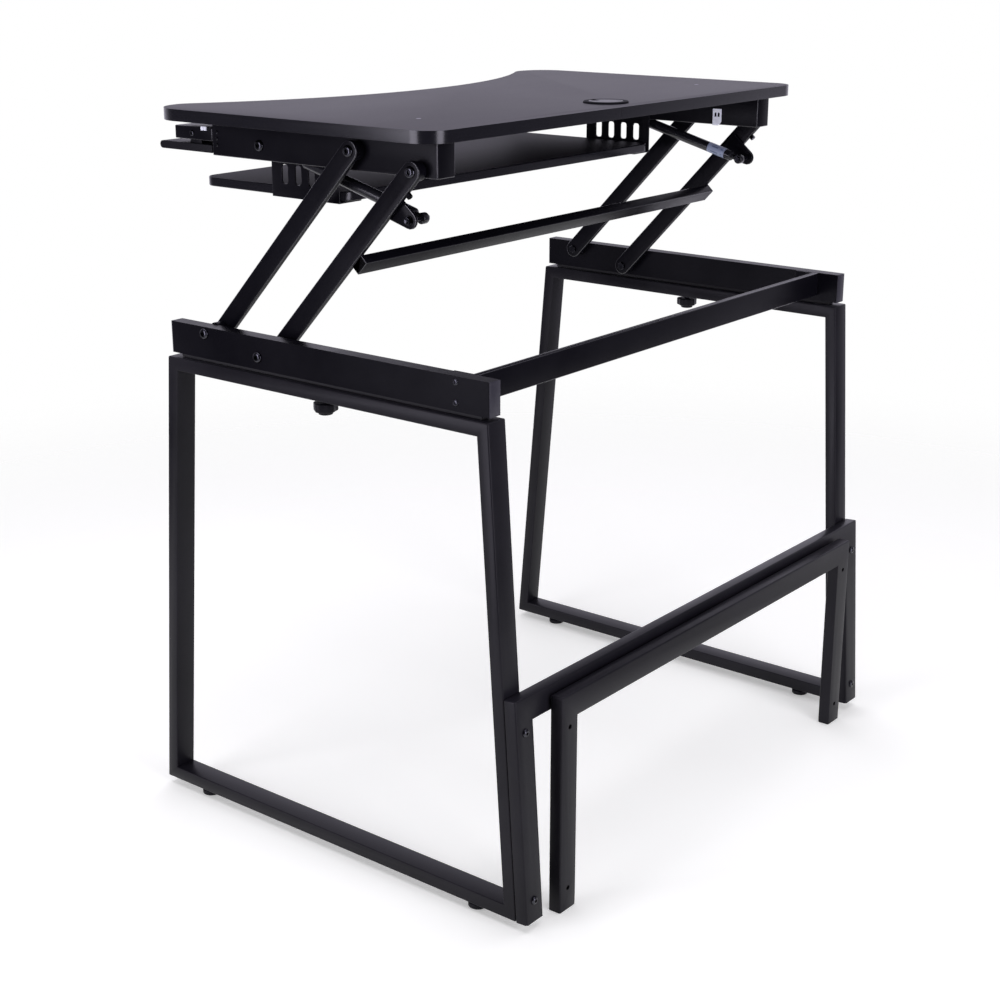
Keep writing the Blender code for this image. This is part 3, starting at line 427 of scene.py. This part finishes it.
def pivot(node, sign, parts):
    # parts are the plates from the middle outwards; the last gap before the head holds the spacer
    inner, outer = away(node)
    low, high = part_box(node)
    place = aim((sign * inner, (low.y + high.y) / 2, (low.z + high.z) / 2), (sign, 0, 0))
    faces = [away(part) for part in parts]
    nutTop = faces[0][0] - bolt["gap"] - inner
    if nutTop < 1 * mm or nutTop > 8 * mm:
        nutTop = 3 * mm
    start, end = faces[0][1] + bolt["gap"] - inner, faces[1][0] - bolt["gap"] - inner
    base = outer - inner - bolt["headHeight"]
    shank, spacer, bevel = bolt["shank"], bolt["spacer"], 0.5 * mm
    rings = [(0, 0), (hexagon(bolt["nut"] - 2 * bevel), 0), (hexagon(bolt["nut"]), bevel),
             (hexagon(bolt["nut"]), nutTop), (shank, nutTop), (shank, start, 1),
             (spacer - bevel, start, 1), (spacer, start + bevel, 1), (spacer, end - bevel, 1),
             (spacer - bevel, end, 1), (shank, end, 0), (shank, base)]
    work = bmesh.new()
    turned(work, rings + buttonHead(bolt["head"], bolt["headHeight"], bolt["socket"], base), place, 36)
    piece(node + "_shape", work, [zinc, coat], cad[node]["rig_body"], [node])


for side, sign in sides:
    for place in ("front", "rear"):
        arm = f"{place}_arm_{side}"
        pivot(f"lower_pivot_{place}_{side}", sign, (arm, f"base_rail_{side}"))
        pivot(f"upper_pivot_{place}_{side}", sign, (f"upper_rail_{side}", arm))

smallHead = {"radius": 5.6 * mm, "height": 2.9 * mm, "socket": 4.0 * mm, "shank": 3.0 * mm}


def braceScrew(node):
    tip, apex = spine(node, 1)
    length = (apex - tip).length
    base = length - smallHead["height"]
    rings = [(0, 0), (smallHead["shank"], 0), (smallHead["shank"], base)]
    work = bmesh.new()
    head = buttonHead(smallHead["radius"], smallHead["height"], smallHead["socket"], base)
    turned(work, rings + head, aim(tip, apex - tip), 36)
    piece(node + "_shape", work, [zinc], cad[node]["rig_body"], [node])


for side, sign in sides:
    for place in ("lower", "upper"):
        braceScrew(f"brace_bolt_{place}_{side}")
    cad[f"prop_bolt_{side}"].data.materials[0] = zinc


def faceScrews(name, points, direction, body, look, radius, height, socket=None):
    # heads that stand on a flat face
    work = bmesh.new()
    for point in points:
        rings = [(0, 0)]
        if socket:
            rings += buttonHead(radius, height, socket)
        else:
            rings += [(radius, 0), (0.94 * radius, 0.45 * height), (0.7 * radius, 0.85 * height), (0, height)]
        turned(work, rings, aim(point, direction), 28)
    return piece(name, work, [look], body)


crossbarScrew = {"ahead": 49.6 * mm, "heights": (7.0 * mm, 32.0 * mm), "radius": 4.4 * mm, "height": 1.6 * mm}
for side, sign in sides:
    low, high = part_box(f"base_rail_{side}")
    x = sign * away(f"base_rail_{side}")[1]
    spots = [(x, high.y - crossbarScrew["ahead"], high.z - drop) for drop in crossbarScrew["heights"]]
    faceScrews(f"crossbar_screws_{side}", spots, (sign, 0, 0), "stand", zinc,
               crossbarScrew["radius"], crossbarScrew["height"], 2.6 * mm)
print("bolts done")


# arms

armFacts = {"corner": 1.2 * mm, "linkCorner": 1.6 * mm, "lugCorner": 0.7 * mm,
            "stopBelow": 24 * mm, "stopOut": 12.5 * mm, "stopRadius": 3.4 * mm, "stopLength": 6 * mm}
hub = Vector(joints["desktop_level"]["pos_m"])
armLow = Vector(joints["lift"]["pos_m"])
armWay = (hub - armLow).normalized()
armBack = Vector((0, armWay.z, -armWay.y))    # out of the arms' rear edges


def weldBead(name, start, end, body, radius=1.3 * mm, ripple=0.25):
    # a row of overlapping ripples between two points
    work = bmesh.new()
    length = (end - start).length
    steps = round(length / (0.9 * radius))
    rings = [(0, 0)]
    for i in range(1, steps):
        rings.append((radius * (1 - ripple * (i % 2)), length * i / steps))
    rings.append((0, length))
    turned(work, rings, aim(start, end - start), 12)
    return piece(name, work, [coat], body)


def linkWelds(side, sign):                    # the link tube's ends on the rear edges of the arms
    low, high = away(f"rear_arm_{side}")
    points = [vert.co for vert in cad["link_bar"].data.vertices]
    along = [(point - armLow).dot(armWay) for point in points]
    out = min((point - armLow).dot(armBack) for point in points)
    for index, reach in enumerate((min(along), max(along))):
        corner = armLow + armWay * reach + armBack * out
        start, end = (Vector((sign * x, corner.y, corner.z)) for x in (low + 1 * mm, high - 1 * mm))
        weldBead(f"link_weld_{index + 1}_{side}", start, end, "rear_arms")


def stopBolt(side, sign):                     # short bolt in the rear edge of the arm, below its hub
    low, high = away(f"rear_arm_{side}")
    root = hub - armWay * armFacts["stopBelow"] + armBack * armFacts["stopOut"]
    root.x = sign * (low + high) / 2
    r, length = armFacts["stopRadius"], armFacts["stopLength"]
    rings = [(0, -2 * mm), (0.75 * r, -2 * mm), (0.75 * r, 0.9 * mm), (hexagon(1.8 * r), 0.9 * mm),
             (hexagon(1.9 * r), 1.3 * mm), (hexagon(1.9 * r), length - 0.5 * mm),
             (hexagon(1.7 * r), length), (0, length)]
    work = bmesh.new()
    turned(work, rings, aim(root, armBack), 36)
    piece(f"stop_bolt_{side}", work, [zinc], "rear_arms")


for side, sign in sides:
    for place in ("front", "rear"):
        rounded(f"{place}_arm_{side}", armFacts["corner"], coat)
    rounded(f"gas_lug_{side}", armFacts["lugCorner"], coat, 2)
    linkWelds(side, sign)
    stopBolt(side, sign)
rounded("link_bar", armFacts["linkCorner"], coat)
print("arms done")


# gas springs

gas = {"bodyRadius": 7.5 * mm, "neck": 4.0 * mm, "eye": 6.8 * mm, "eyeWide": 9.0 * mm, "pin": 2.8 * mm,
       "bodyFrom": 11.3 * mm, "bodyTo": 197.3 * mm, "rod": 3.0 * mm, "rodInside": 100 * mm,
       "rodEye": 9.0 * mm, "rodHole": 6.5 * mm, "labelFrom": 24 * mm, "labelTo": 54 * mm}


def labelLook():                              # pale blue paper with plain bars
    look = Look("gas_label")
    z = look.axis("Z")
    across = look.axis("X") * 420 + look.axis("Y") * 60
    rows = look.node("ShaderNodeMath", {"operation": "FRACT"}, {0: across})
    bar = (rows > 0.55) * (look.noise(170, 0, look.stretched((0.2, 0.2, 1))) > 0.47)
    inside = (z > 3 * mm) * (z < 27 * mm)
    paper = look.mix(look.noise(300, 2), (0.28, 0.33, 0.46), (0.36, 0.41, 0.55))
    return look.done(BaseColor=look.mix(bar * inside * 0.8, paper, (0.10, 0.13, 0.24)),
                     Roughness=look.between(look.noise(90), 0.32, 0.45))


gasLabel = labelLook()


def barrel(work, radius, hole, width, centre, look=0):
    # an eye across the spring, with round rims
    half, edge = width / 2, 0.8 * mm
    rings = [(hole, -half), (radius - edge, -half), (radius - 0.3 * edge, -half + 0.3 * edge),
             (radius, -half + edge), (radius, half - edge), (radius - 0.3 * edge, half - 0.3 * edge),
             (radius - edge, half), (hole, half)]
    turned(work, rings, aim(centre, (1, 0, 0)), 36, look, closed=True)


def gasSpring(side):
    lug = Vector(joints[f"gas_spring_swing_{side}"]["pos_m"])
    way = Vector(joints[f"gas_spring_stroke_{side}"]["axis"]).normalized()
    place = aim(lug, way)
    r, start, end = gas["bodyRadius"], gas["bodyFrom"], gas["bodyTo"]
    shoulder = [(0, 4 * mm), (gas["neck"], 4 * mm), (gas["neck"], start), (0.62 * r, start + 0.3 * mm),
                (0.85 * r, start + 1.0 * mm), (0.96 * r, start + 2.2 * mm), (r, start + 4 * mm)]
    nose = [(r, end - 4 * mm), (0.97 * r, end - 2 * mm), (0.88 * r, end - 0.6 * mm), (0.75 * r, end),
            (gas["rod"] + 0.4 * mm, end), (gas["rod"] + 0.4 * mm, end - 6 * mm), (0, end - 6 * mm)]
    work = bmesh.new()
    turned(work, shoulder + nose, place, 40)
    barrel(work, gas["eye"], gas["pin"] + 0.3 * mm, gas["eyeWide"], lug)
    node = f"gas_cylinder_{side}"
    piece(node + "_shape", work, [gasPaint], cad[node]["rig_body"], [node])
    work = bmesh.new()
    length = gas["labelTo"] - gas["labelFrom"]
    skin = 0.12 * mm
    turned(work, [(r + 0.02 * mm, 0), (r + skin, 0), (r + skin, length), (r + 0.02 * mm, length)],
           Matrix(), 40, closed=True)
    piece(f"gas_label_{side}", work, [gasLabel], cad[node]["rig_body"],
          place=place @ Matrix.Translation((0, 0, gas["labelFrom"])))
    node = f"gas_rod_{side}"
    points = [vert.co for vert in cad[node].data.vertices]
    far = max((point - lug).dot(way) for point in points) - gas["rodEye"]
    rod = gas["rod"]
    rings = [(0, far - gas["rodInside"]), (rod, far - gas["rodInside"] + 0.4 * mm), (rod, far - 16 * mm),
             (1.5 * rod, far - 15.5 * mm), (1.6 * rod, far - 15 * mm), (1.6 * rod, far - 10 * mm),
             (1.4 * rod, far - 7.5 * mm), (0, far - 7.5 * mm)]
    work = bmesh.new()
    turned(work, rings, place, 32)
    barrel(work, gas["rodEye"], gas["rodHole"], gas["eyeWide"], lug + way * far, 1)
    piece(node + "_shape", work, [rodChrome, coat], cad[node]["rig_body"], [node])


def lugNuts(side, sign):                      # the bolt through the spring's eye, with its nuts outside
    lug = Vector(joints[f"gas_spring_swing_{side}"]["pos_m"])
    face = away(f"rear_arm_{side}")[0]
    work = bmesh.new()
    out = aim((sign * (face + 0.2 * mm), lug.y, lug.z), (sign, 0, 0))
    nut = 8.6 * mm
    thread = [(2.7 * mm if i % 2 else 2.4 * mm, 5.4 * mm + 0.45 * mm * i) for i in range(8)]
    turned(work, [(0, 0), (6.2 * mm, 0), (6.2 * mm, 0.9 * mm), (hexagon(nut - 0.6 * mm), 0.9 * mm),
                  (hexagon(nut), 1.3 * mm), (hexagon(nut), 4.9 * mm), (hexagon(nut - 0.8 * mm), 5.4 * mm)]
           + thread + [(0, 9 * mm)], out, 36)
    spring = abs(lug.x)
    inside = aim((sign * (spring - gas["eyeWide"] / 2 - 0.1 * mm), lug.y, lug.z), (-sign, 0, 0))
    turned(work, [(0, 0), (5.2 * mm, 0), (5.2 * mm, 0.7 * mm)] +
           [(hexagon(7.6 * mm), 0.7 * mm), (hexagon(7.6 * mm), 3.2 * mm), (0, 3.2 * mm)], inside, 36)
    piece(f"lug_nuts_{side}", work, [zinc], "rear_arms")


for side, sign in sides:
    gasSpring(side)
    lugNuts(side, sign)
print("gas springs done")


# upper frame

upper = {"channelCorner": 1.6 * mm, "hangerCorner": 0.5 * mm, "housingCorner": 1.0 * mm,
         "leverCorner": 1.6 * mm, "rivet": 2.3 * mm, "rivetDrops": (14 * mm, 22 * mm, 30 * mm)}


def channelPins(side, sign):                  # front pin of the gas spring, its head outside
    node = f"rod_pin_{side}"
    low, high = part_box(node)
    inner, outer = away(node)
    base = outer - inner - bolt["headHeight"]
    rings = [(0, 0), (gas["pin"] - 0.3 * mm, 0), (gas["pin"], 0.4 * mm), (gas["pin"], base)]
    work = bmesh.new()
    place = aim((sign * inner, (low.y + high.y) / 2, (low.z + high.z) / 2), (sign, 0, 0))
    turned(work, rings + buttonHead(bolt["head"], bolt["headHeight"], bolt["socket"], base), place, 36)
    piece(node + "_shape", work, [zinc], cad[node]["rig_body"], [node])


def sideways(x, sign):                        # local X and Y become Y and Z, local Z points outwards
    return Matrix(((0, 0, sign, x), (1, 0, 0, 0), (0, 1, 0, 0), (0, 0, 0, 1)))


def leverFastenings(side, sign):
    low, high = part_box(f"lever_housing_{side}")
    x = sign * away(f"lever_housing_{side}")[1]
    pin = Vector(joints[f"lever_squeeze_{side}"]["pos_m"])
    faceScrews(f"lever_screw_{side}", [(x, pin.y, pin.z)], (sign, 0, 0), "upper_frame", zinc,
               3.9 * mm, 1.9 * mm, 2.2 * mm)
    work = bmesh.new()                        # two pale cable ends in a clip on the housing's shoulder
    for start in (9.0 * mm, 14.2 * mm):
        edge = high.y - start
        block = [(edge - 4.6 * mm, high.z - 3.6 * mm), (edge, high.z - 3.6 * mm),
                 (edge, high.z + 1.4 * mm), (edge - 4.6 * mm, high.z + 1.4 * mm)]
        slab(work, block, sideways(x, sign), -0.5 * mm, 1.8 * mm)
    roundEdges(work, 0.5 * mm, 2)
    piece(f"cable_ends_{side}", work, [nylon], "upper_frame")
    low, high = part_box(f"upper_rail_{side}")
    x = sign * away(f"upper_rail_{side}")[1]
    spots = [(x, low.y + 8.5 * mm, high.z - drop) for drop in upper["rivetDrops"]]
    faceScrews(f"channel_rivets_{side}", spots, (sign, 0, 0), "upper_frame", zinc, upper["rivet"], 1.2 * mm)


def hangerBolt(side, sign):                   # bright screw at the front of the hanger's top
    low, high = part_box(f"tray_hanger_{side}")
    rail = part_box(f"upper_rail_{side}")[0]
    x = sign * (away(f"tray_hanger_{side}")[1] - 2 * mm)
    spots = [(x, y, rail.z + 9 * mm) for y in (low.y + 12 * mm, high.y - 12 * mm)]
    faceScrews(f"hanger_screws_{side}", spots, (-sign, 0, 0), "upper_frame", blueZinc,
               4.2 * mm, 2.2 * mm, 2.6 * mm)


clip = {"ahead": 33 * mm, "wide": 14 * mm, "tall": 24 * mm, "thick": 1.8 * mm, "chamfer": 5 * mm}


def paleClip(side, sign):                     # pale nylon keeper on the inner face of the channel
    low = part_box(f"upper_rail_{side}")[0]
    x = away(f"upper_rail_{side}")[0]
    front = hub.y - clip["ahead"] - clip["wide"]
    z = low.z - 1 * mm
    outline = [(0, z), (clip["wide"] - clip["chamfer"], z), (clip["wide"], z + clip["chamfer"]),
               (clip["wide"], z + clip["tall"]), (0, z + clip["tall"])]
    turnX = sideways(sign * x, -sign) @ Matrix.Translation((front, 0, 0))
    work = bmesh.new()
    slab(work, outline, turnX, 0.05 * mm, clip["thick"])
    roundEdges(work, 0.4 * mm, 2)
    holes = []
    for start in (2.2 * mm, 7.6 * mm):
        hole = [(start, z + 12.5 * mm), (start + 4.2 * mm, z + 12.5 * mm),
                (start + 4.2 * mm, z + 18.5 * mm), (start, z + 18.5 * mm)]
        holes.append(cutter(hole, turnX, -clip["thick"], 2 * clip["thick"]))
    made = piece(f"cable_keeper_{side}", work, [nylon], "upper_frame")
    carve(made, holes)


def cutter(outline, place, low, high):
    work = bmesh.new()
    slab(work, outline, place, low, high)
    bmesh.ops.recalc_face_normals(work, faces=work.faces)
    mesh = bpy.data.meshes.new("cutter")
    work.to_mesh(mesh)
    work.free()
    made = bpy.data.objects.new("cutter", mesh)
    bpy.context.scene.collection.objects.link(made)
    return made


def carve(target, cutters):                   # cuts, applies and removes the cutters
    for tool in cutters:
        step = target.modifiers.new("cut", "BOOLEAN")
        step.operation = "DIFFERENCE"
        step.solver = "EXACT"
        step.object = tool
    bpy.context.view_layer.update()
    done = bpy.data.meshes.new_from_object(target.evaluated_get(bpy.context.evaluated_depsgraph_get()))
    target.modifiers.clear()
    target.data = done
    for tool in cutters:
        bpy.data.objects.remove(tool, do_unlink=True)


for side, sign in sides:
    rounded(f"upper_rail_{side}", upper["channelCorner"], coat)
    rounded(f"tray_hanger_{side}", upper["hangerCorner"], coat, 2)
    rounded(f"lever_housing_{side}", upper["housingCorner"], coat)
    rounded(f"lift_lever_{side}", upper["leverCorner"], plastic)
    channelPins(side, sign)
    leverFastenings(side, sign)
    hangerBolt(side, sign)
    paleClip(side, sign)
print("upper frame done")


# desktop and tray

board = {"topCorner": 0.9 * mm, "trayCorner": 1.4 * mm, "seamX": 40 * mm, "seam": 0.35 * mm,
         "plugX": 310 * mm, "plugRadius": 3.2 * mm, "plugAhead": 109 * mm}
underPaper = mouldedPlastic("underside_paper", (0.012, 0.0115, 0.014), 0.62)
paleCover = mouldedPlastic("pale_cover", (0.20, 0.19, 0.22), 0.40)


def boardPiece(node, radius, faceLook, keep=None):
    work = outerMesh(node)
    roundEdges(work, radius, 4, keep)
    bmesh.ops.recalc_face_normals(work, faces=work.faces)
    for face in work.faces:
        face.material_index = 0 if face.normal.z > 0.9 else 2 if face.normal.z < -0.9 else 1
    return piece(node + "_shape", work, [faceLook, band, underPaper], cad[node]["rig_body"],
                 [node])


low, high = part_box("grommet_ring")
grommetAt = Vector((0, (low.y + high.y) / 2, high.z))
topLow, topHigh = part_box("desktop")


def farFromGrommet(edge):
    return (edge.verts[0].co - grommetAt).length > 45 * mm


top = boardPiece("desktop", board["topCorner"], topLaminate, farFromGrommet)
boardPiece("keyboard_tray", board["trayCorner"], shadedTrayLaminate)
seamLow = topHigh.y - 0.25 * mm
groove = [(board["seamX"], seamLow), (board["seamX"] + board["seam"], seamLow),
          (board["seamX"] + board["seam"], topHigh.y + 1 * mm), (board["seamX"], topHigh.y + 1 * mm)]
carve(top, [cutter(groove, Matrix(), topLow.z - 1 * mm, topHigh.z + 1 * mm)])

plugs = bmesh.new()
for side, sign in sides:                      # small covers over the screws of the channels
    spot = (sign * board["plugX"], topHigh.y - board["plugAhead"], topHigh.z + 0.02 * mm)
    r = board["plugRadius"]
    turned(plugs, [(0, 0), (r, 0), (r, 0.25 * mm), (0.85 * r, 0.4 * mm), (0, 0.45 * mm)], aim(spot, up), 28)
piece("screw_covers", plugs, [paleCover], "upper_frame")


def grommetRing():
    lift = grommetAt.z
    rim = 30 * mm
    bottom = topLow.z - lift
    seat = topHigh.z - 0.2 * mm - lift
    wall, inner = 25.7 * mm, 23.7 * mm
    rings = [(wall, bottom), (wall, seat), (rim, seat), (rim, -1.1 * mm), (rim - 0.35 * mm, -0.5 * mm),
             (rim - 1.1 * mm, -0.1 * mm), (rim - 2.2 * mm, 0), (inner + 0.5 * mm, 0), (inner, -0.4 * mm),
             (inner, -3.3 * mm), (inner - 1.5 * mm, -3.3 * mm), (inner - 1.5 * mm, -5.3 * mm),
             (inner, -5.3 * mm), (inner, bottom)]
    work = bmesh.new()
    turned(work, rings, aim(grommetAt, up), 72, closed=True)
    piece("grommet_ring_shape", work, [grommetPlastic], "upper_frame",
          ["grommet_ring"])


def grommetCap():
    radius = 23.1 * mm
    rings = [(0, -3 * mm), (radius - 0.3 * mm, -3 * mm), (radius, -2.7 * mm), (radius, -0.5 * mm),
             (radius - 0.5 * mm, -0.05 * mm), (radius - 3 * mm, 0), (radius - 3.4 * mm, -0.35 * mm),
             (0, -0.35 * mm)]
    work = bmesh.new()
    turned(work, rings, aim(grommetAt, up), 72)
    half = 5 * mm
    made = piece("grommet_cap_shape", work, [capPlastic], cad["grommet_cap"]["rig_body"],
                 ["grommet_cap"])
    y = grommetAt.y
    slot = [(-half, y - 30 * mm), (half, y - 30 * mm), (half, y - 13 * mm), (0.6 * half, y - 12 * mm),
            (-0.6 * half, y - 12 * mm), (-half, y - 13 * mm)]
    carve(made, [cutter(slot, Matrix(), grommetAt.z - 8 * mm, grommetAt.z + 2 * mm)])


grommetRing()
grommetCap()
print("boards done")


# feet and knobs

footFacts = {"radius": 12.5 * mm, "rim": 10.2 * mm, "stem": 4.0 * mm, "stemLength": 12 * mm}
for side, sign in sides:
    for place in ("front", "rear"):
        node = f"levelling_foot_{place}_{side}"
        low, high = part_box(node)
        r, rim = footFacts["radius"], footFacts["rim"]
        rings = [(0, 0), (0.86 * r, 0), (0.95 * r, 0.25 * mm), (r, 1.4 * mm), (r, 5.4 * mm),
                 (0.97 * r, 6.1 * mm), (0.90 * r, 6.6 * mm), (0.72 * r, rim - 0.6 * mm), (0.66 * r, rim),
                 (footFacts["stem"], rim), (footFacts["stem"], rim + footFacts["stemLength"]),
                 (0, rim + footFacts["stemLength"])]
        work = bmesh.new()
        turned(work, rings, aim(((low.x + high.x) / 2, (low.y + high.y) / 2, 0), up), 40)
        piece(node + "_shape", work, [plastic], cad[node]["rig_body"], [node])

knob = {"radius": 16 * mm, "lobe": 2.2 * mm, "lobes": 5, "skirt": 10.8 * mm, "height": 15 * mm,
        "stud": 4 * mm}


def lobed(share):
    def reach(angle):
        return share * (knob["radius"] - knob["lobe"] * (1 - math.cos(knob["lobes"] * angle)) / 2)
    return reach


for side, sign in sides:
    node = f"clamp_knob_{side}"
    low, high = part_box(node)
    topZ = Vector(joints[f"knob_turn_{side}"]["pos_m"]).z
    place = aim(((low.x + high.x) / 2, (low.y + high.y) / 2, topZ), up)
    skirt, height = knob["skirt"], knob["height"]
    rings = [(0, -height), (0.50 * knob["radius"], -height), (0.56 * knob["radius"], -height + 0.5 * mm),
             (0.60 * knob["radius"], -skirt), (lobed(0.90), -skirt), (lobed(0.97), -skirt + 0.5 * mm),
             (lobed(1.0), -skirt + 1.6 * mm), (lobed(1.0), -1.6 * mm), (lobed(0.97), -0.5 * mm),
             (lobed(0.90), 0), (knob["stud"], 0, 1), (knob["stud"], high.z - topZ, 1), (0, high.z - topZ)]
    work = bmesh.new()
    turned(work, rings, place, 80)
    piece(node + "_shape", work, [plastic, zinc], cad[node]["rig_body"], [node])
print("feet and knobs done")


# studio

studio = {"floor": 2.6, "fadeFrom": 0.9, "fadeTo": 2.4, "backBright": 1.0, "frontDim": 0.12,
          "topBox": 62.0, "stripBox": 36.0, "stripSize": (1.2, 1.8), "stripAway": 2.6,
          "tint": (0.98, 0.94, 1.10, 1.0),
          "behind": (-0.78, -0.62, 0.0), "dimUntil": 0.10, "brightFrom": 0.85,
          "topAt": (0, 0, 3.2), "topSize": (3.4, 3.4), "bearings": (("strip_right", -14), ("strip_left", 79))}


def floorLook():
    look = Look("studio_floor")
    cloud = look.noise(0.8, 3)
    look.done(BaseColor=look.mix(cloud, (0.91, 0.94, 0.82), (0.94, 0.97, 0.85)),
              Roughness=look.between(cloud, 0.75, 0.85), EmissionColor=(1, 1, 1), EmissionStrength=0.26)
    distance = look.node("ShaderNodeVectorMath", {"operation": "LENGTH"}, {0: look.place()}, "Value")
    fade = look.node("ShaderNodeMapRange", {"interpolation_type": "SMOOTHSTEP"},
                     {"Value": distance, 1: studio["fadeFrom"], 2: studio["fadeTo"]})
    clear = look.node("ShaderNodeBsdfTransparent")
    solid = Wire(look, look.shader.outputs[0])
    mixed = look.node("ShaderNodeMixShader", None, {0: fade, 1: solid, 2: clear})
    look.fill(look.tree.nodes["Material Output"].inputs["Surface"], mixed)
    return look.material


work = bmesh.new()
bmesh.ops.create_grid(work, x_segments=1, y_segments=1, size=studio["floor"])
mesh = bpy.data.meshes.new("floor")
work.to_mesh(mesh)
work.free()
floor = bpy.data.objects.new("floor", mesh)
bpy.context.scene.collection.objects.link(floor)
floor.location.z = -0.5 * mm
mesh.materials.append(floorLook())

forward = Vector((-0.7450, -0.5905, -0.3104)).normalized()
camera = bpy.data.cameras.new("camera")
camera.lens = 62.6
camera.sensor_width = 36
eye = bpy.data.objects.new("camera", camera)
bpy.context.scene.collection.objects.link(eye)
eye.location = (1.9126, 1.4588, 1.1714)
eye.rotation_euler = forward.to_track_quat("-Z", "Y").to_euler()
bpy.context.scene.camera = eye


def softBox(name, place, size, power, at):
    lamp = bpy.data.lights.new(name, "AREA")
    lamp.shape = "RECTANGLE"
    lamp.size, lamp.size_y = size
    lamp.energy = power
    lamp.color = studio["tint"][:3]
    made = bpy.data.objects.new(name, lamp)
    bpy.context.scene.collection.objects.link(made)
    made.location = place
    made.rotation_euler = (Vector(at) - Vector(place)).to_track_quat("-Z", "Y").to_euler()
    made.visible_camera = False


softBox("top_box", studio["topAt"], studio["topSize"], studio["topBox"], (0, 0, 0))
for name, bearing in studio["bearings"]:        # either side of the camera
    turn = math.radians(bearing)
    place = Vector((math.cos(turn), math.sin(turn), 0)) * studio["stripAway"]
    place.z = studio["stripSize"][1] / 2
    softBox(name, place, studio["stripSize"], studio["stripBox"], (0, 0, place.z))


def backdrop():                               # bright behind the object, dim on the other side
    world = bpy.data.worlds.new("studio")
    bpy.context.scene.world = world
    world.use_nodes = True
    tree = world.node_tree
    bright = tree.nodes["Background"]
    tint = tree.nodes.new("ShaderNodeMix")
    tint.data_type = "RGBA"
    tint.inputs[6].default_value = studio["tint"]
    tint.inputs[7].default_value = (1.0, 1.0, 1.0, 1.0)
    where = tree.nodes.new("ShaderNodeTexCoord")
    dot = tree.nodes.new("ShaderNodeVectorMath")
    dot.operation = "DOT_PRODUCT"
    dot.inputs[1].default_value = studio["behind"]
    spread = tree.nodes.new("ShaderNodeMapRange")
    spread.interpolation_type = "SMOOTHSTEP"
    spread.inputs["From Min"].default_value = studio["dimUntil"]
    spread.inputs["From Max"].default_value = studio["brightFrom"]
    spread.inputs["To Min"].default_value = studio["frontDim"]
    spread.inputs["To Max"].default_value = studio["backBright"]
    seen = tree.nodes.new("ShaderNodeLightPath")
    pick = tree.nodes.new("ShaderNodeMix")
    pick.inputs["B"].default_value = 1.0
    tree.links.new(where.outputs["Generated"], dot.inputs[0])
    tree.links.new(dot.outputs["Value"], spread.inputs["Value"])
    tree.links.new(seen.outputs["Is Camera Ray"], pick.inputs["Factor"])
    tree.links.new(spread.outputs["Result"], pick.inputs["A"])
    tree.links.new(pick.outputs["Result"], bright.inputs["Strength"])
    tree.links.new(seen.outputs["Is Camera Ray"], tint.inputs["Factor"])
    tree.links.new(tint.outputs[2], bright.inputs["Color"])


backdrop()
bpy.context.scene.view_settings.view_transform = "Standard"
print("studio done")
